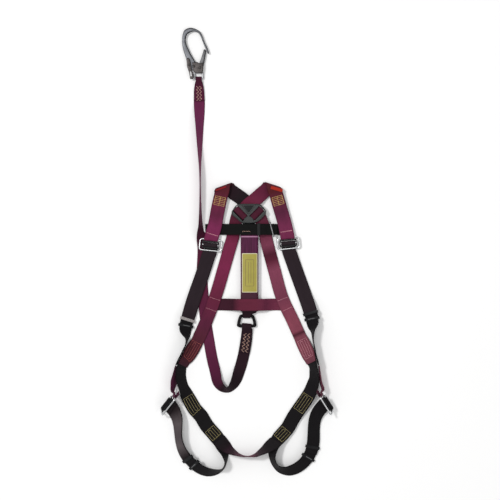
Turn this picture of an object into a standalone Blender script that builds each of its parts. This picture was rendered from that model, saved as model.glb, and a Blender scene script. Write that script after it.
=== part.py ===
"""Full-body safety harness with a shock-absorbing webbing lanyard, laid flat with its front side up.

+Y runs from the leg loops to the shoulders, +X towards the wearer's left and +Z up from the surface that
the harness lies on. Names say left and right as seen from above, with the shoulders at the top.
Stations and sizes are in millimetres and scaled by MM.
"""
import math

import bmesh
import bpy
from mathutils import Matrix, Vector

MM = 0.001
UP = Vector((0.0, 0.0, 1.0))

# Driving dimensions, in millimetres.
WEB = 45.0            # main webbing width
WEB_THICK = 2.0       # webbing thickness
BACK_WEB = 41.0       # where the back straps are drawn in below the dorsal plate
SLOT_WEB = 43.5       # in the plate's slots
LANYARD_WEB = 35.0    # lanyard webbing width
GAP = 0.4             # air between a strap and what it wraps
STEP = 20.0           # spacing of cross-sections along a strap
LAYER = 2.7           # distance between the middles of two stacked straps

EYE_FRAMES = 5        # frames of the lanyard under a sewn eye
EYE_SLACK = 1.1       # air between an eye and its bar
LOWER_EYE = 31.0      # width of the lanyard's eyes where they wrap their bars
UPPER_EYE = 19.0

RING_SPAN = (69.0, 35.0)   # centreline of a buckle ring
RING_ROD = 2.5             # radius of its rod
RING_HEIGHT = 12.0         # height of a chest ring above the surface
PLATE_SIZE = (55.0, 24.0, 3.0)
PLATE_WINDOW = (47.0, 15.0)
PLATE_LIFT = 4.7           # middle of the plate above the ring's plane
BAR_ROD = 2.0
BAR_LIFT = 8.6
BAR_LENGTH = 53.0

DORSAL_CENTRE = (5.0, 371.0)
DORSAL_THICK = 5.0
DORSAL_HEIGHT = 20.0       # middle of the dorsal plate
BRIDGE_OFFSET = (27.0, 2.5)
BRIDGE_HALF = 5.5
SLOT_WIDTH = 6.0
SLOT_LENGTH = 47.0
DEE_ROD = 5.0
DEE_MIDDLE = 6.5
DEE_BAR_Y = 397.0
DEE_DEPTH = 61.0
DEE_HALF = 30.0
DEE_CORNER = 20.0
DEE_BAR_HEIGHT = 5.6
DEE_TIP_HEIGHT = 8.0
FOLD_RADIUS = 7.0          # at the shoulders

CHEST_WEB = 35.0
CHEST_HIGH = 27.0          # the chest strap's underside where it crosses the absorber
SLIDE_ROD = 1.8
SLIDE_LOW = (80.5, 322.0, 16.6)     # middle of the slide's bar inside the right chest strap
SLIDE_HIGH = (79.0, 322.0, 26.0)    # middle of its bar over the left one
SLIDE_AXIS = (0.25, -0.97, 0.0)
SLIDE_HALF = 22.8
SLIDE_CORNER = 2.5

ABSORBER_X = (-20.5, 36.5)
ABSORBER_Y = (60.0, 310.0)
ABSORBER_Z = (0.6, 24.6)
COVER_WALL = 1.5
LINK_ROD = 4.8
LINK_BAR = (-1.0, 13.0, 8.4)   # middle of the lanyard's lower eye

HOOK_BAIL = (-155.0, 806.0)
HOOK_Z = (3.6, 12.4)       # hook frame between its cover plates
HOOK_ROUNDING = 1.6        # of the forged frame's edges
COVER_PLATE = 2.4
GATE_THICK = 5.4
GATE_MIDDLE = 3.2          # middle of the gate above the frame's underside
GATE_PIN = (5.0, 34.0)
LEVER_PIN = (-30.0, 43.0)
RIVET = (-15.0, 38.0)
PIN = 2.8
PIN_BOTTOM = 0.7
BAIL_ROD = 2.7
BAIL_SIZE = (26.5, 19.0)
BAIL_CORNER = 3.5
COIL_RADIUS = 4.2
COIL_WIRE = 0.4
COIL_PITCH = 0.9

MAROON = ((0.150, 0.020, 0.060), 0.75, 0.0)
BLACK_WEB = ((0.012, 0.012, 0.014), 0.70, 0.0)
BLACK_PLASTIC = ((0.020, 0.022, 0.024), 0.45, 0.0)
SILVER = ((0.720, 0.730, 0.740), 0.25, 1.0)
HOOK_GREY = ((0.320, 0.330, 0.345), 0.38, 1.0)
DARK_STEEL = ((0.120, 0.120, 0.130), 0.35, 1.0)
PURPLE = ((0.060, 0.015, 0.050), 0.60, 0.0)
YELLOW = ((0.620, 0.520, 0.110), 0.55, 0.0)
TAG_RED = ((0.550, 0.110, 0.050), 0.65, 0.0)
ELASTIC = ((0.450, 0.440, 0.430), 0.80, 0.0)


def clear_scene():
    for old in list(bpy.data.objects):
        bpy.data.objects.remove(old, do_unlink=True)


def collection(name):
    made = bpy.data.collections.new(name)
    bpy.context.scene.collection.children.link(made)
    return made


def finish_of(look):
    colour, roughness, metallic = look
    name = "finish_%02d_%02d_%02d_%d" % tuple([int(c * 99) for c in colour] + [int(metallic)])
    made = bpy.data.materials.get(name)
    if made is None:
        made = bpy.data.materials.new(name)
        made.use_nodes = True
        shader = made.node_tree.nodes["Principled BSDF"]
        shader.inputs["Base Color"].default_value = (*colour, 1.0)
        shader.inputs["Roughness"].default_value = roughness
        shader.inputs["Metallic"].default_value = metallic
    return made


def add_object(name, data, look, matrix=None):
    made = bpy.data.objects.new(name, data)
    data.materials.append(finish_of(look))
    if matrix is not None:
        made.matrix_world = matrix
    HARNESS.objects.link(made)
    return made


def frame_matrix(centre, across, normal):
    """Frame at a point in millimetres: X across, Z along the normal, Y made from both."""
    normal = Vector(normal).normalized()
    across = Vector(across)
    across = (across - normal * across.dot(normal)).normalized()
    up = normal.cross(across)
    turn = Matrix((across, up, normal)).transposed().to_4x4()
    return Matrix.Translation(Vector(centre) * MM) @ turn


# ---------------------------------------------------------------- webbing

def smooth(stations, step):
    """Read a smooth curve through stations of equal size, about `step` apart."""
    spans = [(Vector(b[:3]) - Vector(a[:3])).length for a, b in zip(stations, stations[1:])]
    rises = [(b - a) / h for a, b, h in zip(stations, stations[1:], spans)]
    slopes = [rises[0]]
    for before, after, h0, h1 in zip(rises, rises[1:], spans, spans[1:]):
        slopes.append((after * h0 + before * h1) / (h0 + h1))
    slopes.append(rises[-1])
    read = []
    for i, span in enumerate(spans):
        count = max(1, round(span / step))
        for k in range(count):
            t = k / count
            a = stations[i] * (2 * t ** 3 - 3 * t ** 2 + 1)
            b = slopes[i] * ((t ** 3 - 2 * t ** 2 + t) * span)
            c = stations[i + 1] * (3 * t ** 2 - 2 * t ** 3)
            d = slopes[i + 1] * ((t ** 3 - t ** 2) * span)
            read.append(a + b + c + d)
    read.append(stations[-1])
    return read


def lie(stations, width=WEB, step=STEP):
    """Strap frames through (x, y, bottom, lean[, width]) stations.

    `bottom` is the height of the strap's lower edge. A positive lean lifts the edge on the right of
    its heading. A frame is (middle, side, width), in millimetres.
    """
    full = []
    for x, y, bottom, lean, *own in stations:
        wide = own[0] if own else width
        angle = math.radians(lean)
        rise = (abs(math.sin(angle)) * wide + abs(math.cos(angle)) * WEB_THICK) / 2
        full.append(Vector((x, y, bottom + rise, lean, wide)))
    read = smooth(full, step)
    frames = []
    for i, here in enumerate(read):
        before = read[max(i - 1, 0)]
        after = read[min(i + 1, len(read) - 1)]
        heading = Vector((after - before)[:3]).normalized()
        right = heading.cross(UP).normalized()
        angle = math.radians(here[3])
        side = right * math.cos(angle) + UP * math.sin(angle)
        side = (side - heading * side.dot(heading)).normalized()
        frames.append((Vector(here[:3]), side, here[4]))
    return frames


def offset(frames, distance):
    """The frames of a strap stacked on another: moved along its upward face."""
    moved = []
    for i, (point, side, wide) in enumerate(frames):
        before = frames[max(i - 1, 0)][0]
        after = frames[min(i + 1, len(frames) - 1)][0]
        normal = side.cross((after - before).normalized())
        moved.append((point + normal * distance, side, wide))
    return moved


def around(centre, axis, first, radius, turn, width, count=8):
    """Strap frames round a bar, from the direction `first` through `turn` degrees."""
    axis = Vector(axis).normalized()
    first = Vector(first).normalized() * radius
    frames = []
    for i in range(count + 1):
        spin = Matrix.Rotation(math.radians(turn * i / count), 3, axis)
        frames.append((Vector(centre) + spin @ first, axis, width))
    return frames


def shoulder_fold(centre, along, outward, approach, radius, width, count=8):
    """Strap frames over a diagonal fold, from its top to its underside.

    The fold is half a turn round a line `along`; every cross-section lies on that line's direction,
    so it is as long as the slanting cut across a strap that meets the line at `approach` degrees.
    """
    along = Vector(along).normalized()
    outward = Vector(outward).normalized()
    angle = math.radians(approach)
    pitch = radius / math.tan(angle)
    frames = []
    for i in range(count + 1):
        turn = math.pi * i / count
        round_out = outward * math.sin(turn) + UP * math.cos(turn)
        point = Vector(centre) + along * (turn - math.pi / 2) * pitch + round_out * radius
        frames.append((point, along, width / math.sin(angle)))
    return frames


def ribbon(name, frames, look, thickness=WEB_THICK):
    """A flat strap of webbing through its frames."""
    columns = len(frames) - 1
    mesh = bpy.data.meshes.new(name)
    grid = bmesh.new()
    bmesh.ops.create_grid(grid, x_segments=columns, y_segments=1, size=0.5)
    bmesh.ops.triangulate(grid, faces=grid.faces[:], quad_method="FIXED")
    straight = [frames[0][1]]
    for _, side, _ in frames[1:]:
        straight.append(side if side.dot(straight[-1]) > 0 else -side)
    for vert in grid.verts:
        i = round((vert.co.x + 0.5) * columns)
        hand = 1.0 if vert.co.y > 0 else -1.0
        point, _, wide = frames[i]
        vert.co = (point + straight[i] * hand * wide / 2) * MM
    grid.to_mesh(mesh)
    grid.free()
    strap = add_object(name, mesh, look)
    solid = strap.modifiers.new("thickness", "SOLIDIFY")
    solid.thickness = thickness * MM
    solid.offset = 0.0
    return strap


def nearest(frames, x, y):
    """The number of the frame closest to a place on the surface."""
    return min(range(len(frames)), key=lambda i: (frames[i][0].xy - Vector((x, y))).length)


def strap_matrix(frames, index, lift=0.0):
    """Frame across a strap: X along its width, Y through its thickness, Z along it."""
    point, side, _ = frames[index]
    heading = (frames[index + 1][0] - frames[index - 1][0]).normalized()
    normal = side.cross(heading)
    return frame_matrix(point + normal * lift, side, heading)


# ---------------------------------------------------------------- solid pieces

def box_points(width, height, radius, corner_steps=3):
    """A rounded rectangle round the origin, anticlockwise, in millimetres."""
    points = []
    for quarter, (sx, sy) in enumerate(((1, 1), (-1, 1), (-1, -1), (1, -1))):
        for k in range(corner_steps + 1):
            angle = math.pi / 2 * (quarter + k / corner_steps)
            x = sx * (width / 2 - radius) + radius * math.cos(angle)
            y = sy * (height / 2 - radius) + radius * math.sin(angle)
            points.append((x, y))
    return points


def outline_curve(name, outlines, thickness):
    """A flat closed outline, with holes as its further outlines, drawn out to a thickness."""
    curve = bpy.data.curves.new(name, "CURVE")
    curve.dimensions = "2D"
    curve.fill_mode = "BOTH"
    curve.extrude = thickness / 2 * MM
    for points in outlines:
        spline = curve.splines.new("POLY")
        spline.points.add(len(points) - 1)
        for knot, (x, y) in zip(spline.points, points):
            knot.co = (x * MM, y * MM, 0.0, 1.0)
        spline.use_cyclic_u = True
    return curve


def flat_piece(name, outlines, thickness, matrix, look):
    return add_object(name, outline_curve(name, outlines, thickness), look, matrix)


def smooth_outline(points, per_side=5):
    """More points along a smooth closed line through the given ones."""
    count = len(points)
    read = []
    for i in range(count):
        before, here, there, after = (Vector(points[(i + k) % count]) for k in (-1, 0, 1, 2))
        for k in range(per_side):
            t = k / per_side
            read.append(0.5 * (2 * here + (there - before) * t + (2 * before - 5 * here + 4 * there - after) * t * t
                               + (3 * here - before - 3 * there + after) * t ** 3))
    return read


def inset(points, distance):
    """A closed line moved to its left by a distance."""
    count = len(points)
    moved = []
    for i in range(count):
        before, here, there = (Vector(points[(i + k) % count]) for k in (-1, 0, 1))
        along_in, along_out = (here - before).normalized(), (there - here).normalized()
        left = Vector((-(along_in + along_out).y, (along_in + along_out).x)).normalized()
        reach = max(0.5, left.dot(Vector((-along_in.y, along_in.x))))
        moved.append(here + left * distance / reach)
    return moved


def turns_left(points):
    """Whether a closed line runs anticlockwise."""
    return sum(a[0] * b[1] - b[0] * a[1] for a, b in zip(points, list(points[1:]) + [points[0]])) > 0


def rounded_piece(name, outline, holes, thickness, matrix, look, steps=3):
    """A flat piece whose outer edges are rounded by HOOK_ROUNDING, with straight holes."""
    shape = bmesh.new()
    outline = list(outline) if turns_left(outline) else list(outline)[::-1]
    levels = []
    for k in range(steps + 1):
        turn = math.pi / 2 * k / steps
        levels.append((HOOK_ROUNDING * (1 - math.cos(turn)), thickness / 2 - HOOK_ROUNDING * (1 - math.sin(turn))))
    levels = [(back, -height) for back, height in reversed(levels)] + levels
    rings = [[shape.verts.new((x * MM, y * MM, height * MM)) for x, y in inset(outline, back)]
             for back, height in levels]
    ends = [[rings[0]], [rings[-1]]]
    walls = [rings]
    for hole in holes:
        tube = [[shape.verts.new((x * MM, y * MM, height * MM)) for x, y in hole]
                for height in (-thickness / 2, thickness / 2)]
        walls.append(tube)
        ends[0].append(tube[0])
        ends[1].append(tube[1])
    for wall in walls:
        for low, high in zip(wall, wall[1:]):
            for i in range(len(low)):
                j = (i + 1) % len(low)
                shape.faces.new((low[i], low[j], high[j], high[i]))
    for loops in ends:
        edges = [shape.edges.get((loop[i], loop[(i + 1) % len(loop)])) for loop in loops for i in range(len(loop))]
        bmesh.ops.triangle_fill(shape, edges=edges, use_beauty=True)
    bmesh.ops.recalc_face_normals(shape, faces=shape.faces)
    mesh = bpy.data.meshes.new(name)
    shape.to_mesh(mesh)
    shape.free()
    return add_object(name, mesh, look, matrix)


def rod(name, points, radius, look, matrix=None, closed=False, sides=2):
    """A bent rod through points in millimetres."""
    curve = bpy.data.curves.new(name, "CURVE")
    curve.dimensions = "3D"
    curve.bevel_depth = radius * MM
    curve.bevel_resolution = sides
    curve.use_fill_caps = not closed
    spline = curve.splines.new("POLY")
    spline.points.add(len(points) - 1)
    for knot, point in zip(spline.points, points):
        knot.co = (*(Vector(point) * MM), 1.0)
    spline.use_cyclic_u = closed
    return add_object(name, curve, look, matrix)


def cylinder(name, start, end, radius, look, sides=16):
    """A round bar between two points in millimetres."""
    start, end = Vector(start) * MM, Vector(end) * MM
    turn = (end - start).to_track_quat("Z", "Y").to_matrix().to_4x4()
    mesh = bpy.data.meshes.new(name)
    shape = bmesh.new()
    bmesh.ops.create_cone(
        shape, cap_ends=True, segments=sides, radius1=radius * MM, radius2=radius * MM, depth=(end - start).length)
    shape.to_mesh(mesh)
    shape.free()
    return add_object(name, mesh, look, Matrix.Translation((start + end) / 2) @ turn)


def band(name, matrix, inner, wall, length, look):
    """A loop or sleeve round a strap: a rounded box with a window, drawn out along the strap."""
    outer = (inner[0] + 2 * wall, inner[1] + 2 * wall)
    outlines = [box_points(*outer, wall, 2), box_points(*inner, 0.6, 1)]
    return flat_piece(name, outlines, length, matrix, look)


def place_in(matrix, across, up, normal):
    """A point given in a frame, in millimetres."""
    return matrix @ (Vector((across, up, normal)) * MM) / MM


# ---------------------------------------------------------------- buckles

# The strap's path over the sliding bar, as (up, normal) in the ring's frame.
BAR_LOOP = [(-5.6, 5.0), (-5.5, 8.6), (-4.3, 11.2), (0.0, 12.2), (4.3, 11.2), (5.5, 8.6), (5.6, 5.0)]


def threaded(matrix, before, after):
    """Strap frames over a buckle's bar, between two short paths in the ring's plane frame."""
    side = matrix.to_3x3() @ Vector((1.0, 0.0, 0.0))
    path = before + BAR_LOOP + after
    return [(place_in(matrix, 0.0, up, normal), side, WEB) for up, normal in path]


def buckle(prefix, matrix):
    """A pass-through buckle: rod ring, slotted plate and the bar that slides in the plate."""
    width, height = RING_SPAN
    corners = [(x, y, 0.0) for x, y in box_points(width, height, 7.0)]
    rod(prefix + "_ring", corners, RING_ROD, SILVER, matrix, closed=True)
    lifted = matrix @ Matrix.Translation((0.0, 0.0, PLATE_LIFT * MM))
    outlines = [box_points(PLATE_SIZE[0], PLATE_SIZE[1], 3.0, 2), box_points(*PLATE_WINDOW, 1.0, 1)]
    flat_piece(prefix + "_plate", outlines, PLATE_SIZE[2], lifted, BLACK_PLASTIC)
    ends = [place_in(matrix, hand * BAR_LENGTH / 2, 0.0, BAR_LIFT) for hand in (-1, 1)]
    cylinder(prefix + "_bar", *ends, BAR_ROD, SILVER)


# Under a chest ring's lower bar the adjustable strap lies in two layers.
CHEST_TAIL_PATH = [(-25.0, -4.4), (-16.5, -4.4), (-9.5, -2.0), (-6.2, 1.6)]
CHEST_MAIN_PATH = [(5.2, 1.0), (2.6, -4.2), (-4.5, -6.8), (-14.0, -7.1), (-25.0, -7.1)]
# Through a leg ring, which stands on edge, the strap comes in from inside the leg loop.
LEG_OUTER_PATH = [(-7.0, -7.6), (-5.7, -1.0)]
LEG_INNER_PATH = [(5.2, 0.5), (1.6, -3.4), (-4.4, -7.4)]


def chest_buckles():
    buckle("shoulder_left", CHEST_LEFT)
    buckle("shoulder_right", CHEST_RIGHT)


def leg_buckles():
    buckle("leg_left", LEG_LEFT)
    buckle("leg_right", LEG_RIGHT)


# ---------------------------------------------------------------- straps

def bridge_path(centre, hand):
    """Strap frames through a pair of slots in the dorsal plate and over the bar between them."""
    down = Vector((hand, -1.0, 0.0)).normalized()
    side = Vector((hand, 1.0, 0.0)).normalized()
    rise = [(-10.2, 16.5), (-8.6, 20.0), (-7.6, 22.8), (-5.2, 24.2)]
    path = rise + [(-s, z) for s, z in reversed(rise)]
    frames = []
    for s, z in path:
        point = Vector((centre[0], centre[1], z)) + down * s
        frames.append((point, side, SLOT_WEB))
    return frames


def shoulder_strap_left():
    """Left chest ring, left shoulder, right-hand slots of the dorsal plate, right hip."""
    bar = place_in(CHEST_LEFT, 0.0, RING_SPAN[1] / 2, 0.0)
    axis = CHEST_LEFT.to_3x3() @ Vector((1.0, 0.0, 0.0))
    loop = RING_ROD + GAP + WEB_THICK / 2
    frames = [(Vector((-109.5, 319.0, RING_HEIGHT - loop)), -axis, WEB)]
    frames += around(bar, axis, (0, 0, -1), loop, -180.0, WEB)
    frames += lie([(-113.5, 296, 14.6, 0), (-106, 322, 11.6, 0), (-91, 396, 13.5, 0), (-82, 436, 16.6, 0)])
    frames += shoulder_fold((-72.7, 455.4, 4.0 + FOLD_RADIUS), (0.942, 0.335, 0), (-0.335, 0.942, 0),
                            59.0, FOLD_RADIUS, WEB)
    flat = [(-55, 448, 3.4, 0), (-40, 437, 5.0, 0), (-17, 420.5, 11.2, 0), (5, 400, 11.4, 0),
            (22.6, 382.9, 11.3, 0, SLOT_WEB)]
    frames += lie(flat)
    frames += bridge_path(BRIDGE_RIGHT, 1.0)
    frames += lie([(42, 361, 14.0, 0), (48, 345, 14.0, 0), (57, 314, 6.2, 0), (62.5, 286, 3.6, 0), (66, 272, 3.4, 0),
                   (88, 190, 3.4, 0), (113, 102, 3.4, 0), (149, 25, 3.4, 0), (170, -22, 3.4, 0)], BACK_WEB)
    return frames + offset(THIGH_RIGHT_START, LAYER)


def shoulder_strap_right():
    """Right chest ring, right shoulder, left-hand slots of the dorsal plate, left hip."""
    bar = place_in(CHEST_RIGHT, 0.0, RING_SPAN[1] / 2, 0.0)
    axis = CHEST_RIGHT.to_3x3() @ Vector((1.0, 0.0, 0.0))
    loop = RING_ROD + GAP + WEB_THICK / 2
    frames = [(Vector((124.5, 326.0, RING_HEIGHT - loop)), -axis, WEB)]
    frames += around(bar, axis, (0, 0, -1), loop, -180.0, WEB)
    frames += lie([(128.5, 302, 14.6, 0), (124, 326, 11.6, 0), (103, 401, 13.5, 0), (92, 440, 16.6, 0)])
    frames += shoulder_fold((80.8, 458.3, 4.0 + FOLD_RADIUS), (-0.95, 0.31, 0), (0.31, 0.95, 0),
                            60.0, FOLD_RADIUS, WEB)
    flat = [(64, 451, 3.4, 0), (48, 437, 7.0, 0), (28, 419, 14.2, 0), (5, 400, 14.2, 0),
            (-11.5, 384, 14.2, 0, SLOT_WEB)]
    frames += lie(flat)
    frames += bridge_path(BRIDGE_LEFT, -1.0)
    frames += lie([(-32, 361, 14.0, 0), (-36, 345, 14.0, 0), (-41, 318, 6.2, 0), (-47, 292, 3.6, 0),
                   (-51, 278, 3.4, 0), (-74, 198, 3.4, 0), (-101, 107, 3.4, 0), (-135, 17, 3.4, 0),
                   (-160, -38, 3.4, 0)], BACK_WEB)
    return frames + offset(THIGH_LEFT_START, LAYER)


def front_strap(matrix, stations, tail_end):
    """Black adjustable strap below a chest ring: tail, loop over the bar, main run to the hip.

    The main run starts at the buckle; the tail lies on it as far as `tail_end`.
    """
    main = lie(stations)
    tail = offset(main, LAYER)[:nearest(main, *tail_end) + 1]
    return main, tail[::-1] + threaded(matrix, CHEST_TAIL_PATH, CHEST_MAIN_PATH) + main


def leg_strap(matrix, stations, tail_end):
    """Black leg strap: from under the thigh strap round the leg loop to its ring and part way back."""
    main = lie(stations)
    path = threaded(matrix, LEG_OUTER_PATH, LEG_INNER_PATH)
    tail = offset(main, LAYER)[nearest(main, *tail_end):]
    return main, main + path[::-1] + tail[::-1]


FRONT_LEFT_STATIONS = [
    (-122.6, 240, 3.9, 0), (-148, 163, 3.0, 0), (-160, 130, 3.0, 2), (-173, 92, 3.0, 6), (-184, 56, 3.0, 15),
    (-191, 33, 4.6, 24), (-195.5, 14, 5.2, 28), (-196.5, 0, 4.6, 35), (-194, -14, 1.5, 56), (-191.5, -29, 0.8, 80),
    (-195, -44, 0.7, 88), (-203.5, -62, 0.7, 88), (-211, -78, 0.7, 88), (-219.5, -94, 0.7, 88),
    (-226, -111, 0.7, 86)]
FRONT_RIGHT_STATIONS = [
    (137, 246, 3.9, 0), (170, 154, 0.8, 0), (188, 104, 1.5, -4), (199, 72, 4.0, -16), (204, 54, 5.0, -22),
    (208, 36, 5.0, -27), (210, 18, 3.4, -40), (210, -4, 1.0, -76), (211, -30, 0.7, -88), (216, -56, 0.7, -88),
    (219, -74, 0.7, -88), (224, -92, 0.7, -88), (229, -111, 0.7, -88)]

THIGH_LEFT_TOP = [
    (-172, -58, 0.6, 4), (-187, -82, 0.6, 20), (-199, -98, 0.6, 42), (-207, -113, 0.6, 48), (-211, -135, 0.6, 48),
    (-209.5, -161, 0.6, 47), (-201.5, -187, 0.8, 46), (-191.5, -211, 2.0, 26)]
THIGH_RIGHT_TOP = [
    (182, -46, 0.6, -4), (195, -74, 0.6, -16), (203, -92, 0.6, -38), (207.5, -104, 0.6, -50), (212, -118, 0.6, -57),
    (214, -138, 0.6, -54), (214.5, -160, 0.7, -46), (210, -178, 0.9, -33), (202, -200, 2.0, -23)]

LEG_LEFT_STATIONS = [
    (-179, -236, 0.5, 12), (-168, -254, 0.5, 8), (-147, -278, 0.5, 5), (-131, -305, 0.5, 5),
    (-109, -331, 0.5, 7), (-97, -345, 0.5, 12), (-90, -353, 0.5, 16), (-77, -378, 0.5, 38), (-69, -402, 0.5, 66),
    (-68, -425, 0.5, 82),
    (-76, -442, 0.8, 80), (-96, -452, 0.8, 60), (-127, -454, 2.0, 44), (-151, -444.5, 4.6, 39),
    (-169, -431, 5.0, 38), (-189, -411, 4.6, 42), (-207, -382, 2.4, 50), (-218, -340, 1.0, 58), (-220, -305, 1.5, 50),
    (-225, -276, 3.5, 34), (-236, -254, 6.0, 20), (-246, -241, 9.0, 14)]
LEG_RIGHT_STATIONS = [
    (190, -222, 0.5, -14), (181, -235, 0.5, -12), (162, -262, 0.5, -8), (146, -287, 0.5, -6),
    (131, -314, 0.5, -8), (112, -336, 0.5, -14), (100, -349, 0.5, -23), (94, -356, 0.5, -28),
    (83, -380, 0.5, -50),
    (81, -408, 0.8, -64), (90, -432, 0.8, -66), (110, -447, 0.8, -52), (135, -450, 2.0, -38),
    (160, -441, 4.4, -32), (186, -420, 5.0, -30), (203, -394, 4.6, -28), (212, -355, 2.0, -28),
    (213, -322, 1.5, -32), (216, -290, 3.5, -30), (226, -264, 6.0, -22), (239, -247, 9.0, -16)]


def sewn_thigh(top, leg_main, sewn_end):
    """Thigh strap: from the hip down on to the leg strap, sewn to it as far as `sewn_end`."""
    under = offset(leg_main, LAYER)
    return lie(top) + under[:nearest(leg_main, *sewn_end) + 1]


def seat_strap():
    """Strap between the leg loops, sewn on to each leg strap just below the end of its thigh strap."""
    left, right = (offset(main, LAYER + 0.6)[nearest(main, *spot)] for main, spot in (
        (LEG_MAIN_LEFT, (-90, -353)), (LEG_MAIN_RIGHT, (94, -356))))
    middle = lie([
        (-72, -369, 2.4, 38), (-56, -383, 1.6, 58), (-45, -389, 1.0, 70), (-29, -397, 0.5, 84), (-14, -402, 0.5, 92),
        (2, -403.5, 0.5, 96), (14, -402.5, 0.5, 92), (28, -399, 0.5, 82), (42, -391, 1.0, 72), (57, -382, 1.6, 60),
        (74, -370, 2.4, 42)])
    return [left] + middle + [right]


def hip_tab(matrix, stations, hand):
    """Maroon tab from the hip, gathered round the short end of a leg ring and sewn back."""
    turn = matrix.to_3x3()
    across, up, normal = (turn @ Vector(v) for v in ((1, 0, 0), (0, 1, 0), (0, 0, 1)))
    end = place_in(matrix, hand * RING_SPAN[0] / 2, 0.0, 0.0)
    loop = RING_ROD + GAP + WEB_THICK / 2
    narrow = 22.0
    away = across * hand
    frames = lie(stations)
    frames.append((end + away * 9.0 + normal * loop, up, narrow))
    frames += around(end, up, normal, loop, -180.0 * hand, narrow)
    frames += [(end + away * s - normal * loop, up, narrow) for s in (9.0, 20.0)]
    return frames


def lanyard_frames():
    """The lanyard's free run: from the absorber's link, a turn below the waist, up to the hook."""
    stations = [
        (1, 1, 0.7, 0, 35), (-2, -30, 0.7, 0, 37), (-9.5, -75, 0.7, 0, 37), (-26, -135, 0.7, 8, 37),
        (-42, -174, 0.7, 35, 36), (-62, -192, 0.7, 56), (-84, -182, 0.7, 35), (-104, -125, 0.7, 6), (-123, -31, 0.5, 0),
        (-131, 18, 0.5, 0), (-139, 86, 0.5, 0), (-144, 192, 0.5, 0), (-142, 232, 0.7, 0), (-141.5, 264, 0.9, -1),
        (-144.5, 290, 1.0, -14), (-148.5, 309, 0.8, -48), (-148.3, 330, 0.8, -66), (-148.8, 362, 0.8, -76),
        (-149.3, 410, 0.8, -84),
        (-149.8, 460, 0.8, -88), (-150.2, 512, 0.8, -84), (-150.8, 563, 0.8, -71), (-151.5, 614, 0.8, -57),
        (-152.2, 666, 0.8, -40), (-152.8, 709, 0.8, -16), (-153.2, 735, 0.7, 0), (-153.5, 750, 0.7, 0, 34),
        (-153.8, 764, 1.0, 0, 33), (-154.1, 778, 1.7, 0, 30), (-154.4, 790, 2.6, 0, 26)]
    return lie(stations, LANYARD_WEB)


def sewn_eye(bar, rod_radius, strap, width):
    """An eye at a strap's end: round a bar and back on top of the strap, to be sewn down.

    `strap` is the strap's frames from the end that meets the eye.
    """
    end, side, wide = strap[0]
    heading = (end - strap[1][0]).normalized()
    loop = rod_radius + EYE_SLACK + WEB_THICK / 2
    bar = Vector(bar)
    back = 5.0 * math.copysign(1.0, heading.y)
    frames = [(end + heading * GAP, side, wide), (Vector((bar.x, bar.y - back, bar.z - loop + 0.1)), side, width)]
    frames += around(bar, UP.cross(heading), (0, 0, 1), loop, 180.0, width)[::-1]
    frames.append((Vector((bar.x, bar.y - 1.2 * back, bar.z + loop - 0.6)), side, width))
    on_top = [(point + UP * LAYER, side, wide) for point, side, wide in strap[1:EYE_FRAMES]]
    return frames + on_top


def webbing():
    ribbon("shoulder_strap_left", shoulder_strap_left(), MAROON)
    ribbon("shoulder_strap_right", shoulder_strap_right(), MAROON)
    ribbon("thigh_strap_left", THIGH_LEFT, BLACK_WEB)
    ribbon("thigh_strap_right", THIGH_RIGHT, BLACK_WEB)
    ribbon("leg_strap_left", LEG_STRAP_LEFT, BLACK_WEB)
    ribbon("leg_strap_right", LEG_STRAP_RIGHT, BLACK_WEB)
    ribbon("front_strap_left", FRONT_STRAP_LEFT, BLACK_WEB)
    ribbon("front_strap_right", FRONT_STRAP_RIGHT, BLACK_WEB)
    ribbon("hip_tab_left", hip_tab(LEG_LEFT, [
        (-227.5, -114, 1.0, 86, 34), (-230, -140, 1.0, 72, 40), (-233, -164, 1.2, 62, 42),
        (-238, -196, 8.0, 72, 30)], -1.0), MAROON)
    ribbon("hip_tab_right", hip_tab(LEG_RIGHT, [
        (230, -114, 1.0, -88, 36), (233, -144, 1.0, -84, 40), (237, -170, 1.2, -80, 38),
        (243, -192, 8.0, -76, 30)], 1.0), MAROON)
    ribbon("seat_strap", seat_strap(), MAROON)
    ribbon("lumbar_strap", lie([
        (-118, 81, 0.6, 0), (-100, 81, 0.6, 0), (-84, 81, 0.8, 0), (-54, 81, 10.0, 0), (-33, 81, 22.6, 0),
        (-20, 81, 25.1, 0), (-8, 81, 25.3, 0), (24, 81, 25.3, 0), (36, 81, 25.1, 0), (49, 81, 22.6, 0),
        (68, 81, 9.0, 0), (89, 81, 0.8, 0), (106, 81, 0.6, 0), (130, 81, 0.6, 0)], 38.0), MAROON)


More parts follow.
